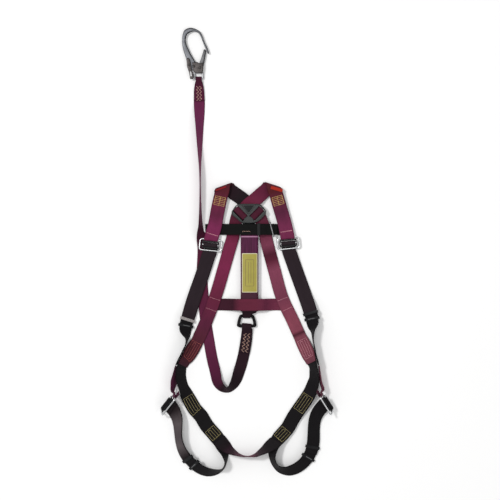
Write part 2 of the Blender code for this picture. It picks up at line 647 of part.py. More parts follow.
def chest_strap():
    """Two black straps that meet at a rectangular metal slide: the right one is sewn round its lower bar,
    and the left one passes under its upper bar and has a keeper for the spare length."""
    ribbon("chest_strap_left", lie([
        (-134, 322, 3.5, 0), (-104, 322, 3.5, 0), (-87, 322, 4.2, 0), (-62, 322, 16.5, 0), (-38, 322, 22.5, 0),
        (-22, 322, 26.4, 0), (-11, 322, CHEST_HIGH, 0), (18, 322, CHEST_HIGH, 0), (44, 322, CHEST_HIGH, 0),
        (54, 322, 26.0, 0), (66, 322, 22.8, 0), (76, 322, 21.8, 0), (86, 322, 21.8, 0)], CHEST_WEB, 12.0), BLACK_WEB)
    bar = Vector(SLIDE_LOW)
    axis = Vector(SLIDE_AXIS).normalized()
    loop = SLIDE_ROD + 2 * GAP + WEB_THICK / 2
    frames = lie([(139, 322, 3.5, 0), (112, 322, 3.5, 0), (98, 322, 5.2, 0), (86, 322, 12.4, 0)], CHEST_WEB, 12.0)
    frames += around(bar, axis, (0.2, 0, -1), loop, 200.0, CHEST_WEB, 6)
    frames += lie([(91, 322, 17.0, 0), (96, 322, 12.6, 0)], CHEST_WEB, 12.0)
    ribbon("chest_strap_right", frames, BLACK_WEB)
    rise = Vector(SLIDE_HIGH) - bar
    upright = frame_matrix(bar + rise / 2, axis, axis.cross(rise))
    corners = [(x, y, 0.0) for x, y in box_points(2 * SLIDE_HALF, rise.length, SLIDE_CORNER)]
    rod("chest_slider", corners, SLIDE_ROD, SILVER, upright, closed=True)
    across = frame_matrix((38.0, 322.0, CHEST_HIGH + 1.6), (0, 1, 0), (1, 0, 0))
    band("chest_keeper", across, (CHEST_WEB + 1.5, 4.4), 1.2, 10.0, BLACK_WEB)


def keepers():
    """Elastic loops round the doubled straps, and the slide where each spare end stops."""
    doubled_inner = (WEB + 2.4, 2 * WEB_THICK + 3.2)
    single_inner = (WEB + 2.4, WEB_THICK + 3.6)
    for side, main, loop_at, slide_at in (
            ("front_%s_left", FRONT_MAIN_LEFT, (-191, 33), (-195.5, 14)),
            ("front_%s_right", FRONT_MAIN_RIGHT, (203, 58), (208.5, 32)),
            ("leg_%s_left", LEG_MAIN_LEFT, (-189, -411), (-169, -431)),
            ("leg_%s_right", LEG_MAIN_RIGHT, (207, -376), (195, -407))):
        spot = nearest(main, *loop_at)
        band(side % "keeper", strap_matrix(main, spot, LAYER / 2), doubled_inner, 1.2, 9.0, ELASTIC)
        spot = nearest(main, *slide_at)
        band(side % "slider", strap_matrix(main, spot), single_inner, 2.0, 9.0, BLACK_PLASTIC)


# ---------------------------------------------------------------- dorsal fitting and absorber

def dorsal():
    centre = Vector((*DORSAL_CENTRE, DORSAL_HEIGHT))
    outline = [(-54, 8), (-41, 27), (-28, 32.5), (28, 32.5), (42, 28), (54, 14), (55.5, 2), (36, -19),
               (18, -28.5), (-20, -28.5), (-38, -15), (-52, -3)]
    outlines = [outline]
    for hand in (1.0, -1.0):
        down = Vector((hand, -1.0)).normalized()
        along = Vector((hand, 1.0)).normalized()
        for step in (-1.0, 1.0):
            middle = Vector((hand * BRIDGE_OFFSET[0], BRIDGE_OFFSET[1]))
            middle += down * step * (BRIDGE_HALF + SLOT_WIDTH / 2)
            slot = [middle + along * a * SLOT_LENGTH / 2 + down * b * SLOT_WIDTH / 2
                    for a, b in ((-1, -1), (1, -1), (1, 1), (-1, 1))]
            outlines.append([tuple(corner) for corner in slot])
    flat_piece("dorsal_plate", outlines, DORSAL_THICK, Matrix.Translation(centre * MM), BLACK_PLASTIC)

    points = [(DEE_HALF, 0.0), (-DEE_HALF, 0.0)]
    for hand, start in ((-1.0, math.pi), (1.0, 1.5 * math.pi)):
        for k in range(5):
            angle = start + math.pi / 2 * k / 4
            x = hand * (DEE_HALF - DEE_CORNER) + DEE_CORNER * math.cos(angle)
            points.append((x, DEE_CORNER - DEE_DEPTH + DEE_CORNER * math.sin(angle)))
    fall = (DEE_TIP_HEIGHT - DEE_BAR_HEIGHT) / DEE_DEPTH
    dee = [(DEE_MIDDLE + x, DEE_BAR_Y + y, DEE_BAR_HEIGHT - y * fall) for x, y in points]
    rod("dorsal_ring", dee, DEE_ROD, SILVER, closed=True)


def absorber():
    x0, x1 = ABSORBER_X
    y0, y1 = ABSORBER_Y
    z0, z1 = ABSORBER_Z
    middle = ((x0 + x1) / 2, (y0 + y1) / 2, (z0 + z1) / 2)
    lengthwise = frame_matrix(middle, (1, 0, 0), (0, -1, 0))
    width, height, length = x1 - x0, z1 - z0, y1 - y0
    inner = (width - 2 * COVER_WALL, height - 2 * COVER_WALL)
    outlines = [box_points(width, height, 4.0, 3), box_points(*inner, 2.5, 3)]
    flat_piece("absorber_cover", outlines, length, lengthwise, PURPLE)
    core = [box_points(inner[0] - 1.0, inner[1] - 1.0, 2.5, 2)]
    flat_piece("absorber_core", core, length - 12.0, lengthwise, BLACK_WEB)
    label = Matrix.Translation(Vector((8.5, 183.0, z1 + 0.7)) * MM)
    flat_piece("absorber_label", [box_points(49.0, 125.0, 2.0, 2)], 0.7, label, YELLOW)

    loop = DEE_ROD + GAP + WEB_THICK / 2
    tip = Vector((DEE_MIDDLE, DEE_BAR_Y - DEE_DEPTH, DEE_TIP_HEIGHT))
    side = Vector((1, 0, 0))
    frames = [(Vector((8.0, 304.8, 10.9)), side, 35.0), (Vector((8.0, 318.0, 5.6)), side, 32.0),
              (Vector((7.0, 330.0, 1.75)), side, 24.0)]
    frames += around(tip, side, (0, 0, -1), loop, 180.0, 24.0)
    frames += [(Vector((8.0, 322.0, 14.0)), side, 30.0), (Vector((8.0, 304.8, 13.8)), side, 35.0)]
    ribbon("absorber_top_loop", frames, BLACK_WEB)

    link = Vector((-1.0, 45.0, 8.3))
    loop = LINK_ROD + GAP + WEB_THICK / 2
    frames = [(Vector((x, y, z)), side, wide) for x, y, z, wide in ((8.0, 65.0, 10.9, 49.0), (5.0, 56.0, 6.0, 42.0))]
    frames += around(link, side, (0, 0, -1), loop, -180.0, 24.0)
    frames += [(Vector((x, y, z)), side, wide) for x, y, z, wide in ((5.0, 56.0, 13.6, 42.0), (8.0, 65.0, 13.8, 49.0))]
    ribbon("absorber_tail_loop", frames, BLACK_WEB)


def connecting_link():
    """Triangular link: a short top inside the absorber's loop, a long lower bar for the lanyard."""
    corners = [(-15.0, 45.0, 8.3), (13.0, 45.0, 8.3), (20.0, 39.0, 8.1), (25.0, 19.0, 8.3), (21.0, 13.0, 8.4),
               (-23.0, 13.0, 8.4), (-27.0, 19.0, 8.3), (-22.0, 39.0, 8.1)]
    rod("connecting_link", corners, LINK_ROD, DARK_STEEL, closed=True)


# ---------------------------------------------------------------- hook

def hook_place(height, pin=(0.0, 0.0)):
    """Frame on the hook at a height, over one of its pins or over the bail's lower bar."""
    return Matrix.Translation(Vector((HOOK_BAIL[0] + pin[0], HOOK_BAIL[1] + pin[1], height)) * MM)


def turning_piece(name, outlines, pin, thickness, height):
    """A flat piece of the hook that turns about a pin, with its outlines given from the bail."""
    from_pin = [[(x - pin[0], y - pin[1]) for x, y in points] for points in outlines + [circle(pin, PIN + GAP)]]
    flat_piece(name, from_pin, thickness, hook_place(height, pin), HOOK_GREY)


def hook():
    low, high = HOOK_Z
    mid = (low + high) / 2
    thick = high - low
    face = thick / 2 + GAP + COVER_PLATE / 2
    frame_outline = [
        (-27, 162), (-40, 158), (-48, 150), (-52, 134), (-52.8, 112), (-49.6, 92), (-44, 75), (-38, 56), (-35, 42),
        (-30, 34), (-21, 27), (-12, 27), (-8.5, 34), (-9, 48), (-14, 59), (-24, 76), (-31, 91), (-37, 104),
        (-41, 119), (-40.6, 131), (-36.8, 141), (-27, 148), (-17.6, 150.4), (-8, 149.4), (0, 144.6), (6.4, 134.4),
        (12.8, 118.4), (19.2, 102), (25, 90), (29.5, 80), (33.6, 81.6), (27.2, 99), (18, 119), (11.2, 138),
        (4.8, 149), (-5, 156), (-15, 160)]
    holes = [circle(LEVER_PIN, PIN + GAP), circle(RIVET, PIN + GAP)]
    rounded_piece("hook_frame", smooth_outline(frame_outline), holes, thick, hook_place(mid), HOOK_GREY)
    cover = [(-21, 50), (-14, 51), (-6, 52), (2, 48), (14, 50), (15, 36), (13, 17), (-11, 17), (-15.5, 24), (-18.5, 34)]
    holes = [circle(GATE_PIN, PIN + GAP), circle(RIVET, PIN + GAP)]
    flat_piece("hook_cover_top", [cover] + holes, COVER_PLATE, hook_place(mid + face), HOOK_GREY)
    flat_piece("hook_cover_bottom", [cover] + holes, COVER_PLATE, hook_place(mid - face), HOOK_GREY)

    gate = [(1, 26.5), (9, 26.5), (14, 34), (20, 60), (24, 88), (20.5, 94), (16.5, 92), (9, 66), (0, 44), (-1.5, 34)]
    turning_piece("hook_gate", [gate], GATE_PIN, GATE_THICK, low + GATE_MIDDLE)
    lever = [(-39, 62), (-34, 66), (-28, 61), (-25, 50), (-23, 40), (-22, 26), (-16, 14), (-15.5, 1), (-20, -3),
             (-27, -3), (-30, 16), (-37, 38)]
    slot = [(-26.0, 6), (-21.5, 6), (-23.5, 22), (-27.5, 22)]
    turning_piece("hook_lever", [lever, slot], LEVER_PIN, COVER_PLATE, mid + face)

    for name, (x, y) in (("hook_pin_gate", GATE_PIN), ("hook_pin_rivet", RIVET), ("hook_pin_lever", LEVER_PIN)):
        x, y = x + HOOK_BAIL[0], y + HOOK_BAIL[1]
        cylinder(name, (x, y, PIN_BOTTOM), (x, y, high + GAP + COVER_PLATE + 0.4), PIN, SILVER)
    bail = [(x, y + BAIL_SIZE[1] / 2, 0.0) for x, y in box_points(*BAIL_SIZE, BAIL_CORNER)]
    rod("hook_bail", bail, BAIL_ROD, HOOK_GREY, hook_place(mid), closed=True)
    coil("hook_gate_spring", GATE_PIN, low + 6.3, 2.0)
    coil("hook_lever_spring", LEVER_PIN, 1.5, 1.0)


def coil(name, pin, bottom, turns, steps=10):
    """A torsion spring round a hook pin."""
    points = []
    for k in range(int(turns * steps) + 1):
        angle = 2 * math.pi * k / steps
        points.append((pin[0] + COIL_RADIUS * math.cos(angle), pin[1] + COIL_RADIUS * math.sin(angle),
                       bottom + COIL_WIRE + k / steps * COIL_PITCH))
    rod(name, points, COIL_WIRE, SILVER, hook_place(0.0), sides=1)


def circle(centre, radius, count=12):
    turns = [2 * math.pi * k / count for k in range(count)]
    return [(centre[0] + radius * math.cos(t), centre[1] + radius * math.sin(t)) for t in turns]


def main():
    chest_buckles()
    leg_buckles()
    webbing()
    chest_strap()
    keepers()
    dorsal()
    absorber()
    connecting_link()
    lanyard()
    hook()
    tags()


def lanyard():
    strap = lanyard_frames()
    ribbon("lanyard_strap", strap, MAROON)
    ribbon("lanyard_eye_lower", sewn_eye(LINK_BAR, LINK_ROD, strap, LOWER_EYE), MAROON)
    bail = (HOOK_BAIL[0], HOOK_BAIL[1], sum(HOOK_Z) / 2)
    ribbon("lanyard_eye_upper", sewn_eye(bail, BAIL_ROD, strap[::-1], UPPER_EYE), MAROON)


def tags():
    """Small sewn tags over the shoulder folds."""
    for name, middle, turn, size in (("shoulder_tag_right", (95.0, 451.0, 20.4), -16.0, (39.0, 10.0)),
                                     ("shoulder_tag_left", (-83.5, 452.5, 20.4), 19.5, (36.0, 5.5))):
        place = Matrix.Translation(Vector(middle) * MM) @ Matrix.Rotation(math.radians(turn), 4, "Z")
        flat_piece(name, [box_points(*size, 1.5, 2)], 1.2, place, TAG_RED)


clear_scene()
HARNESS = collection("safety_harness")
CHEST_LEFT = frame_matrix((-117, 272, RING_HEIGHT), (0.9945, -0.1045, 0), (0, 0, 1))
CHEST_RIGHT = frame_matrix((132, 278, RING_HEIGHT), (0.9945, 0.1045, 0), (0, 0, 1))
LEG_LEFT = frame_matrix((-252, -238, 28), (-0.534, -0.810, -0.242), (-0.785, 0.517, 0.342))
LEG_RIGHT = frame_matrix((254, -236, 28), (-0.446, 0.862, 0.242), (0.834, 0.432, 0.342))
BRIDGE_RIGHT = (DORSAL_CENTRE[0] + BRIDGE_OFFSET[0], DORSAL_CENTRE[1] + BRIDGE_OFFSET[1])
BRIDGE_LEFT = (DORSAL_CENTRE[0] - BRIDGE_OFFSET[0], DORSAL_CENTRE[1] + BRIDGE_OFFSET[1])

LEG_MAIN_LEFT, LEG_STRAP_LEFT = leg_strap(LEG_LEFT, LEG_LEFT_STATIONS, (-189, -411))
LEG_MAIN_RIGHT, LEG_STRAP_RIGHT = leg_strap(LEG_RIGHT, LEG_RIGHT_STATIONS, (203, -394))
THIGH_LEFT = sewn_thigh(THIGH_LEFT_TOP, LEG_MAIN_LEFT, (-97, -345))
THIGH_RIGHT = sewn_thigh(THIGH_RIGHT_TOP, LEG_MAIN_RIGHT, (100, -350))
THIGH_LEFT_START = THIGH_LEFT[:nearest(THIGH_LEFT, -207, -113) + 1]
THIGH_RIGHT_START = THIGH_RIGHT[:nearest(THIGH_RIGHT, 207, -104) + 1]
FRONT_MAIN_LEFT, FRONT_STRAP_LEFT = front_strap(CHEST_LEFT, FRONT_LEFT_STATIONS, (-191, 33))
FRONT_MAIN_RIGHT, FRONT_STRAP_RIGHT = front_strap(CHEST_RIGHT, FRONT_RIGHT_STATIONS, (204, 56))

main()
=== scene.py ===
"""Looks of a full-body safety harness with its lanyard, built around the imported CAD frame."""

import math

import bmesh
import bpy
import numpy as np
from mathutils import Matrix, Vector, noise


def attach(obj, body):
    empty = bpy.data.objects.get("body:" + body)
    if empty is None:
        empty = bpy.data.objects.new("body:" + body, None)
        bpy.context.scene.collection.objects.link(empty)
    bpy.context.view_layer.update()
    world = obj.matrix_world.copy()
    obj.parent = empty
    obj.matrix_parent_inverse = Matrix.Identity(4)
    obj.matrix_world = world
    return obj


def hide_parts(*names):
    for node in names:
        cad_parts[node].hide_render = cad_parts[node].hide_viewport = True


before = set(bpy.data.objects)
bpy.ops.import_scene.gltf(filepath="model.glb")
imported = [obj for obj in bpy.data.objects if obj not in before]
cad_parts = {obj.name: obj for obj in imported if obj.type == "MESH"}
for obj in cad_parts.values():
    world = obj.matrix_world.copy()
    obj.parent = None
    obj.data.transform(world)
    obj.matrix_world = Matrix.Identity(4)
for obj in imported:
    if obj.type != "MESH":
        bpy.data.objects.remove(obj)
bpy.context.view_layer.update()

MM = 0.001
UP = Vector((0.0, 0.0, 1.0))

# Driving dimensions of the webbing and its routes, in millimetres.
WEB = 45.0
WEB_THICK = 2.0
BACK_WEB = 41.0
SLOT_WEB = 43.5
LANYARD_WEB = 35.0
CHEST_WEB = 35.0
GAP = 0.4
STEP = 20.0
LAYER = 2.7
FINE_STEP = 3.5
EYE_FRAMES = 5
EYE_SLACK = 1.1
LOWER_EYE = 31.0
UPPER_EYE = 19.0
RING_SPAN = (69.0, 35.0)
RING_ROD = 2.5
RING_HEIGHT = 12.0
PLATE_SIZE = (55.0, 24.0, 3.0)
PLATE_WINDOW = (47.0, 15.0)
PLATE_LIFT = 4.7
BAR_ROD = 2.0
BAR_LIFT = 8.6
BAR_LENGTH = 53.0
DORSAL_CENTRE = (5.0, 371.0)
DORSAL_THICK = 5.0
DORSAL_HEIGHT = 20.0
BRIDGE_OFFSET = (27.0, 2.5)
BRIDGE_HALF = 5.5
SLOT_WIDTH = 6.0
SLOT_LENGTH = 47.0
DEE_ROD = 5.0
DEE_MIDDLE = 6.5
DEE_BAR_Y = 397.0
DEE_DEPTH = 61.0
DEE_HALF = 30.0
DEE_CORNER = 20.0
DEE_BAR_HEIGHT = 5.6
DEE_TIP_HEIGHT = 8.0
FOLD_RADIUS = 7.0
CHEST_HIGH = 27.0
SLIDE_ROD = 1.8
SLIDE_LOW = (80.5, 322.0, 16.6)
SLIDE_HIGH = (79.0, 322.0, 26.0)
SLIDE_AXIS = (0.25, -0.97, 0.0)
SLIDE_HALF = 22.8
SLIDE_CORNER = 2.5
ABSORBER_X = (-20.5, 36.5)
ABSORBER_Y = (60.0, 310.0)
ABSORBER_Z = (0.6, 24.6)
LINK_ROD = 4.8
LINK_BAR = (-1.0, 13.0, 8.4)
HOOK_BAIL = (-155.0, 806.0)
HOOK_Z = (3.6, 12.4)
COVER_PLATE = 2.4
GATE_THICK = 5.4
GATE_MIDDLE = 3.2
GATE_PIN = (5.0, 34.0)
LEVER_PIN = (-30.0, 43.0)
RIVET = (-15.0, 38.0)
PIN = 2.8
PIN_BOTTOM = 0.7
BAIL_ROD = 2.7
BAIL_SIZE = (26.5, 19.0)
BAIL_CORNER = 3.5


def srgb(*levels):
    """Linear colour from 0-255 display levels."""
    return tuple(((c / 255 + 0.055) / 1.055) ** 2.4 if c > 10 else c / 255 / 12.92 for c in levels)


MAROON = srgb(104, 32, 66)
MAROON_BLACK = srgb(32, 16, 24)
ROSE = srgb(124, 60, 82)
BLACK = srgb(20, 18, 20)
BLACK_WARM = srgb(36, 29, 31)
# Painted highlight: the grey sheen of a black strap's face lit by the key light.
PAINTED_SHEEN_GREY = srgb(84, 76, 78)
CHEST_BLACK = srgb(16, 16, 16)
BLACK_DULL = srgb(40, 31, 36)
GOLD_THREAD = srgb(226, 190, 106)
OLIVE_THREAD = srgb(186, 172, 112)
PINK_THREAD = srgb(226, 160, 172)
RUST_THREAD = srgb(178, 82, 66)
SAND_THREAD = srgb(232, 186, 166)


def link(name, data):
    """A new object with the given data, in the scene."""
    made = bpy.data.objects.new(name, data)
    bpy.context.scene.collection.objects.link(made)
    return made


def face_outward(mesh, weld=0.0):
    """Turn a closed mesh's faces outward, with points closer than `weld` joined first."""
    made = bmesh.new()
    made.from_mesh(mesh)
    if weld:
        bmesh.ops.remove_doubles(made, verts=made.verts, dist=weld)
    bmesh.ops.recalc_face_normals(made, faces=made.faces)
    made.to_mesh(mesh)
    made.free()


# ---------------------------------------------------------------- camera, floor and light

LENS = 100.0
SENSOR = 36.0
CAMERA_PLACE = (0.0096, 0.256, 4.46)
FLOOR_SIZE = 14.0
FLOOR_MIDDLE = (0.0, 0.25, 0.0)
FLOOR_GREY = (0.93, 0.93, 0.93)
SKY_STRENGTH = 0.52
WHITE = (1.0, 1.0, 1.0)
LAMPS = (     # name, place, what it points at, size, power, colour
    ("key", (-3.9, 2.3, 7.2), FLOOR_MIDDLE, 1.3, 330.0, (1.0, 0.995, 0.99)),
    ("fill", (3.6, -2.6, 6.0), FLOOR_MIDDLE, 3.0, 40.0, WHITE),
    ("top", (0.0, 0.3, 6.5), (0.0, 0.3, 0.0), 3.5, 70.0, WHITE))


def camera():
    data = bpy.data.cameras.new("camera")
    data.lens = LENS
    data.sensor_width = SENSOR
    cam = link("camera", data)
    cam.location = CAMERA_PLACE
    data.clip_end = 50.0
    bpy.context.scene.camera = cam


def studio():
    bpy.ops.mesh.primitive_plane_add(size=FLOOR_SIZE, location=FLOOR_MIDDLE)
    floor = bpy.context.object
    floor.name = "floor"
    made, shader = new_material("floor_paper", FLOOR_GREY, 0.9)
    shader.inputs["Specular IOR Level"].default_value = 0.1
    floor.data.materials.append(made)
    for name, place, aim, size, power, colour in LAMPS:
        data = bpy.data.lights.new(name, "AREA")
        data.shape = "DISK"
        data.size = size
        data.energy = power
        data.color = colour
        lamp = link(name, data)
        lamp.location = place
        lamp.rotation_euler = (Vector(aim) - Vector(place)).to_track_quat("-Z", "Y").to_euler()
    world = bpy.data.worlds.new("studio")
    bpy.context.scene.world = world
    world.use_nodes = True
    sky = world.node_tree.nodes["Background"]
    sky.inputs["Color"].default_value = (*WHITE, 1.0)
    sky.inputs["Strength"].default_value = SKY_STRENGTH
    bpy.context.scene.view_settings.view_transform = "Standard"


# ---------------------------------------------------------------- materials

class Nodes:
    """Short names for building a node tree."""

    def __init__(self, tree):
        self.tree = tree

    def add(self, kind, **settings):
        node = self.tree.nodes.new(kind)
        for key, value in settings.items():
            setattr(node, key, value)
        return node

    def plug(self, socket, value):
        if isinstance(value, bpy.types.NodeSocket):
            self.tree.links.new(value, socket)
        else:
            socket.default_value = value

    def math(self, operation, a, b=0.0, c=0.0):
        node = self.add("ShaderNodeMath", operation=operation)
        for socket, value in zip(node.inputs, (a, b, c)):
            self.plug(socket, value)
        return node.outputs[0]

    def span(self, value, low, high, to_low=0.0, to_high=1.0):
        node = self.add("ShaderNodeMapRange", clamp=True)
        for socket, given in zip(node.inputs, (value, low, high, to_low, to_high)):
            self.plug(socket, given)
        return node.outputs[0]

    def mix(self, factor, a, b, blend="MIX"):
        node = self.add("ShaderNodeMix", data_type="RGBA", blend_type=blend)
        self.plug(node.inputs["Factor"], factor)
        for name, value in (("A", a), ("B", b)):
            socket = next(s for s in node.inputs if s.name == name and s.type == "RGBA")
            self.plug(socket, (*value, 1.0) if isinstance(value, tuple) and len(value) == 3 else value)
        return next(s for s in node.outputs if s.type == "RGBA")

    def noise(self, vector, scale, detail=2.0, roughness=0.5):
        node = self.add("ShaderNodeTexNoise")
        self.plug(node.inputs["Vector"], vector)
        node.inputs["Scale"].default_value = scale
        node.inputs["Detail"].default_value = detail
        node.inputs["Roughness"].default_value = roughness
        return node.outputs["Fac"]

    def voronoi(self, vector, scale):
        node = self.add("ShaderNodeTexVoronoi")
        self.plug(node.inputs["Vector"], vector)
        node.inputs["Scale"].default_value = scale
        return node.outputs["Distance"]

    def stretch(self, vector, scale):
        node = self.add("ShaderNodeMapping")
        self.plug(node.inputs["Vector"], vector)
        node.inputs["Scale"].default_value = scale
        return node.outputs[0]

    def attribute(self, name):
        return self.add("ShaderNodeAttribute", attribute_name=name)

    def place(self):
        return self.add("ShaderNodeTexCoord").outputs["Object"]

    def bump(self, height, distance, strength=1.0, normal=None):
        node = self.add("ShaderNodeBump")
        node.inputs["Distance"].default_value = distance
        node.inputs["Strength"].default_value = strength
        self.plug(node.inputs["Height"], height)
        if normal is not None:
            self.plug(node.inputs["Normal"], normal)
        return node.outputs[0]


def new_material(name, colour=(0.5, 0.5, 0.5), roughness=0.5, metallic=0.0):
    made = bpy.data.materials.new(name)
    made.use_nodes = True
    shader = made.node_tree.nodes["Principled BSDF"]
    shader.inputs["Base Color"].default_value = (*colour, 1.0)
    shader.inputs["Roughness"].default_value = roughness
    shader.inputs["Metallic"].default_value = metallic
    return made, shader


RIB_PITCH = 0.0011          # weave sizes, in metres
COLUMN_WIDTH = 0.0030
SELVEDGE_PITCH = 0.0016


def webbing_look(name, sheen_tint, sheen, gloss):
    """Woven polyester webbing: herringbone ribs in columns and firm edges, with painted shade in the weave's valleys
    and the gaps between columns and a slight painted highlight on the rib tops.
    """
    made, shader = new_material(name, roughness=0.72)
    n = Nodes(made.node_tree)
    split = n.add("ShaderNodeSeparateXYZ")
    n.plug(split.inputs[0], n.attribute("strap").outputs["Vector"])
    across, along, edge = split.outputs
    zig = n.math("PINGPONG", across, COLUMN_WIDTH)
    slant = n.math("ADD", n.math("DIVIDE", along, RIB_PITCH), n.math("DIVIDE", zig, RIB_PITCH * 1.15))
    ribs = n.math("MULTIPLY_ADD", n.math("SINE", n.math("MULTIPLY", slant, 2 * math.pi)), 0.5, 0.5)
    columns = n.math("ABSOLUTE", n.math("SINE", n.math("MULTIPLY", across, math.pi / COLUMN_WIDTH)))
    columns = n.math("POWER", columns, 0.35)
    height = n.math("MULTIPLY", n.math("MULTIPLY_ADD", ribs, 0.6, 0.4), columns)
    selvedge = n.span(edge, 0.90, 0.94)
    cord = n.math("MULTIPLY_ADD", n.math("SINE", n.math("MULTIPLY", along, 2 * math.pi / SELVEDGE_PITCH)), 0.3, 0.7)
    height = n.math("ADD", n.math("MULTIPLY", height, n.math("SUBTRACT", 1.0, selvedge)),
                    n.math("MULTIPLY", selvedge, cord))
    tone = n.attribute("tone").outputs["Color"]
    fibre = n.noise(n.stretch(n.attribute("strap").outputs["Vector"], (900.0, 120.0, 1.0)), 1.0, 3.0)
    wear = n.noise(n.stretch(n.attribute("strap").outputs["Vector"], (60.0, 22.0, 1.0)), 1.0, 4.0, 0.6)
    # Painted shade and highlight: the colour follows the weave's height, darker in valleys and gaps and a little
    # lighter on the ribs; the fibre and wear noise are real tone.
    shade = n.math("MULTIPLY", n.span(height, 0.0, 1.0, 0.72, 1.10), n.span(fibre, 0.25, 0.75, 0.88, 1.12))
    shade = n.math("MULTIPLY", shade, n.span(wear, 0.3, 0.7, 0.90, 1.10))
    shade = n.math("MULTIPLY", shade, n.span(edge, 0.88, 1.0, 1.0, 0.62))
    grey = n.add("ShaderNodeCombineXYZ")
    for socket in grey.inputs:
        n.plug(socket, shade)
    n.plug(shader.inputs["Base Color"], n.mix(1.0, tone, grey.outputs[0], "MULTIPLY"))
    n.plug(shader.inputs["Roughness"], n.span(fibre, 0.2, 0.8, 0.62, 0.82))
    shader.inputs["Sheen Weight"].default_value = sheen
    shader.inputs["Sheen Roughness"].default_value = 0.45
    shader.inputs["Sheen Tint"].default_value = (*sheen_tint, 1.0)
    shader.inputs["Specular IOR Level"].default_value = gloss
    n.plug(shader.inputs["Normal"], n.bump(height, 0.00022, 0.8))
    return made


def thread_look(name, colour):
    """Twisted bonded thread."""
    made, shader = new_material(name, colour, 0.5)
    n = Nodes(made.node_tree)
    here = n.place()
    mottle = n.noise(here, 260.0, 2.0)
    n.plug(shader.inputs["Base Color"], n.mix(n.span(mottle, 0.3, 0.7), tuple(c * 0.62 for c in colour),
                                             tuple(min(1.0, c * 1.25) for c in colour)))
    shader.inputs["Sheen Weight"].default_value = 0.2
    n.plug(shader.inputs["Normal"], n.bump(n.noise(here, 2600.0, 1.0), 0.0001, 0.6))
    return made


def steel_look(name, colour, rough, worn=0.25):
    """Plated or brushed steel: uneven polish, fine scratches and small dull patches."""
    made, shader = new_material(name, colour, rough, 1.0)
    n = Nodes(made.node_tree)
    here = n.place()
    patch = n.noise(here, 55.0, 4.0, 0.6)
    fine = n.noise(n.stretch(here, (1.0, 4.0, 1.0)), 420.0, 3.0, 0.65)
    n.plug(shader.inputs["Base Color"], n.mix(n.span(patch, 0.40, 0.72, 0.0, worn), colour,
                                             tuple(c * 0.55 for c in colour)))
    n.plug(shader.inputs["Roughness"], n.span(n.math("MULTIPLY_ADD", fine, 0.5, n.math("MULTIPLY", patch, 0.5)),
                                             0.3, 0.7, rough * 0.75, rough * 1.45))
    n.plug(shader.inputs["Normal"], n.bump(fine, 0.00006, 0.5))
    return made


def forged_look(name, colour, edge, rough, reach=0.009):
    """Forged steel: a satin face, with painted shade making the rounded edges that turn towards +X or +Y nearly black.
    """
    made, shader = new_material(name, colour, rough, 1.0)
    n = Nodes(made.node_tree)
    here = n.place()
    round_off = n.add("ShaderNodeBevel", samples=6)
    round_off.inputs["Radius"].default_value = reach
    split = n.add("ShaderNodeSeparateXYZ")
    n.plug(split.inputs[0], round_off.outputs[0])
    # Painted shade: the edges that turn towards +X or +Y take the near-black `edge` colour.
    painted_shade_flank = n.math("MAXIMUM", split.outputs[0], split.outputs[1])
    fine = n.noise(here, 520.0, 3.0, 0.65)
    patch = n.noise(here, 60.0, 3.0)
    face = n.mix(n.span(patch, 0.35, 0.7), colour, tuple(c * 0.72 for c in colour))
    n.plug(shader.inputs["Base Color"], n.mix(n.span(painted_shade_flank, 0.05, 0.28), face, edge))
    n.plug(shader.inputs["Roughness"], n.span(fine, 0.3, 0.7, rough * 0.8, rough * 1.3))
    n.plug(shader.inputs["Normal"], n.bump(fine, 0.00005, 0.4, round_off.outputs[0]))
    return made


def moulded_look(name, colour, rough=0.45, grain=1500.0, gloss=0.12):
    """Moulded plastic with a fine spark-eroded grain and rubbed high spots."""
    made, shader = new_material(name, colour, rough)
    n = Nodes(made.node_tree)
    here = n.place()
    cells = n.voronoi(here, grain)
    patch = n.noise(here, 70.0, 3.0)
    n.plug(shader.inputs["Base Color"], n.mix(n.span(patch, 0.35, 0.75), colour,
                                             tuple(min(1.0, c * 1.5 + 0.002) for c in colour)))
    n.plug(shader.inputs["Roughness"], n.span(patch, 0.3, 0.7, rough * 0.8, rough * 1.25))
    shader.inputs["Specular IOR Level"].default_value = gloss
    n.plug(shader.inputs["Normal"], n.bump(cells, 0.00008, 0.45))
    return made


SLEEVE_FOOT = (0.118, 0.124)     # the sleeve's darker foot ends between these, in metres along Y
# Where the painted highlight crosses the sleeve, in metres along Y.
PAINTED_HIGHLIGHT_Y = 0.2985


def cover_look():
    """Woven sleeve of the absorber: purple, darker below the label, with a painted highlight as a pale band near its
    top.
    """
    made, shader = new_material("absorber_sleeve", srgb(74, 28, 60), 0.6)
    n = Nodes(made.node_tree)
    here = n.place()
    split = n.add("ShaderNodeSeparateXYZ")
    n.plug(split.inputs[0], here)
    streak = n.noise(n.stretch(here, (260.0, 14.0, 260.0)), 1.0, 3.0)
    base = n.mix(n.span(streak, 0.3, 0.7), srgb(58, 12, 40), srgb(82, 24, 62))
    base = n.mix(n.span(split.outputs[1], *SLEEVE_FOOT), srgb(58, 22, 38), base)
    # Painted highlight: a pale band across the sleeve near its top.
    from_highlight = n.math("ABSOLUTE", n.math("SUBTRACT", split.outputs[1], PAINTED_HIGHLIGHT_Y))
    line = n.span(from_highlight, 0.0012, 0.0024, 1.0, 0.0)
    n.plug(shader.inputs["Base Color"], n.mix(line, base, srgb(168, 120, 150)))
    shader.inputs["Specular IOR Level"].default_value = 0.18
    weave = n.math("SINE", n.math("MULTIPLY", split.outputs[0], 2 * math.pi / 0.0022))
    n.plug(shader.inputs["Normal"], n.bump(weave, 0.0001, 0.5, n.bump(streak, 0.0003, 0.5)))
    return made


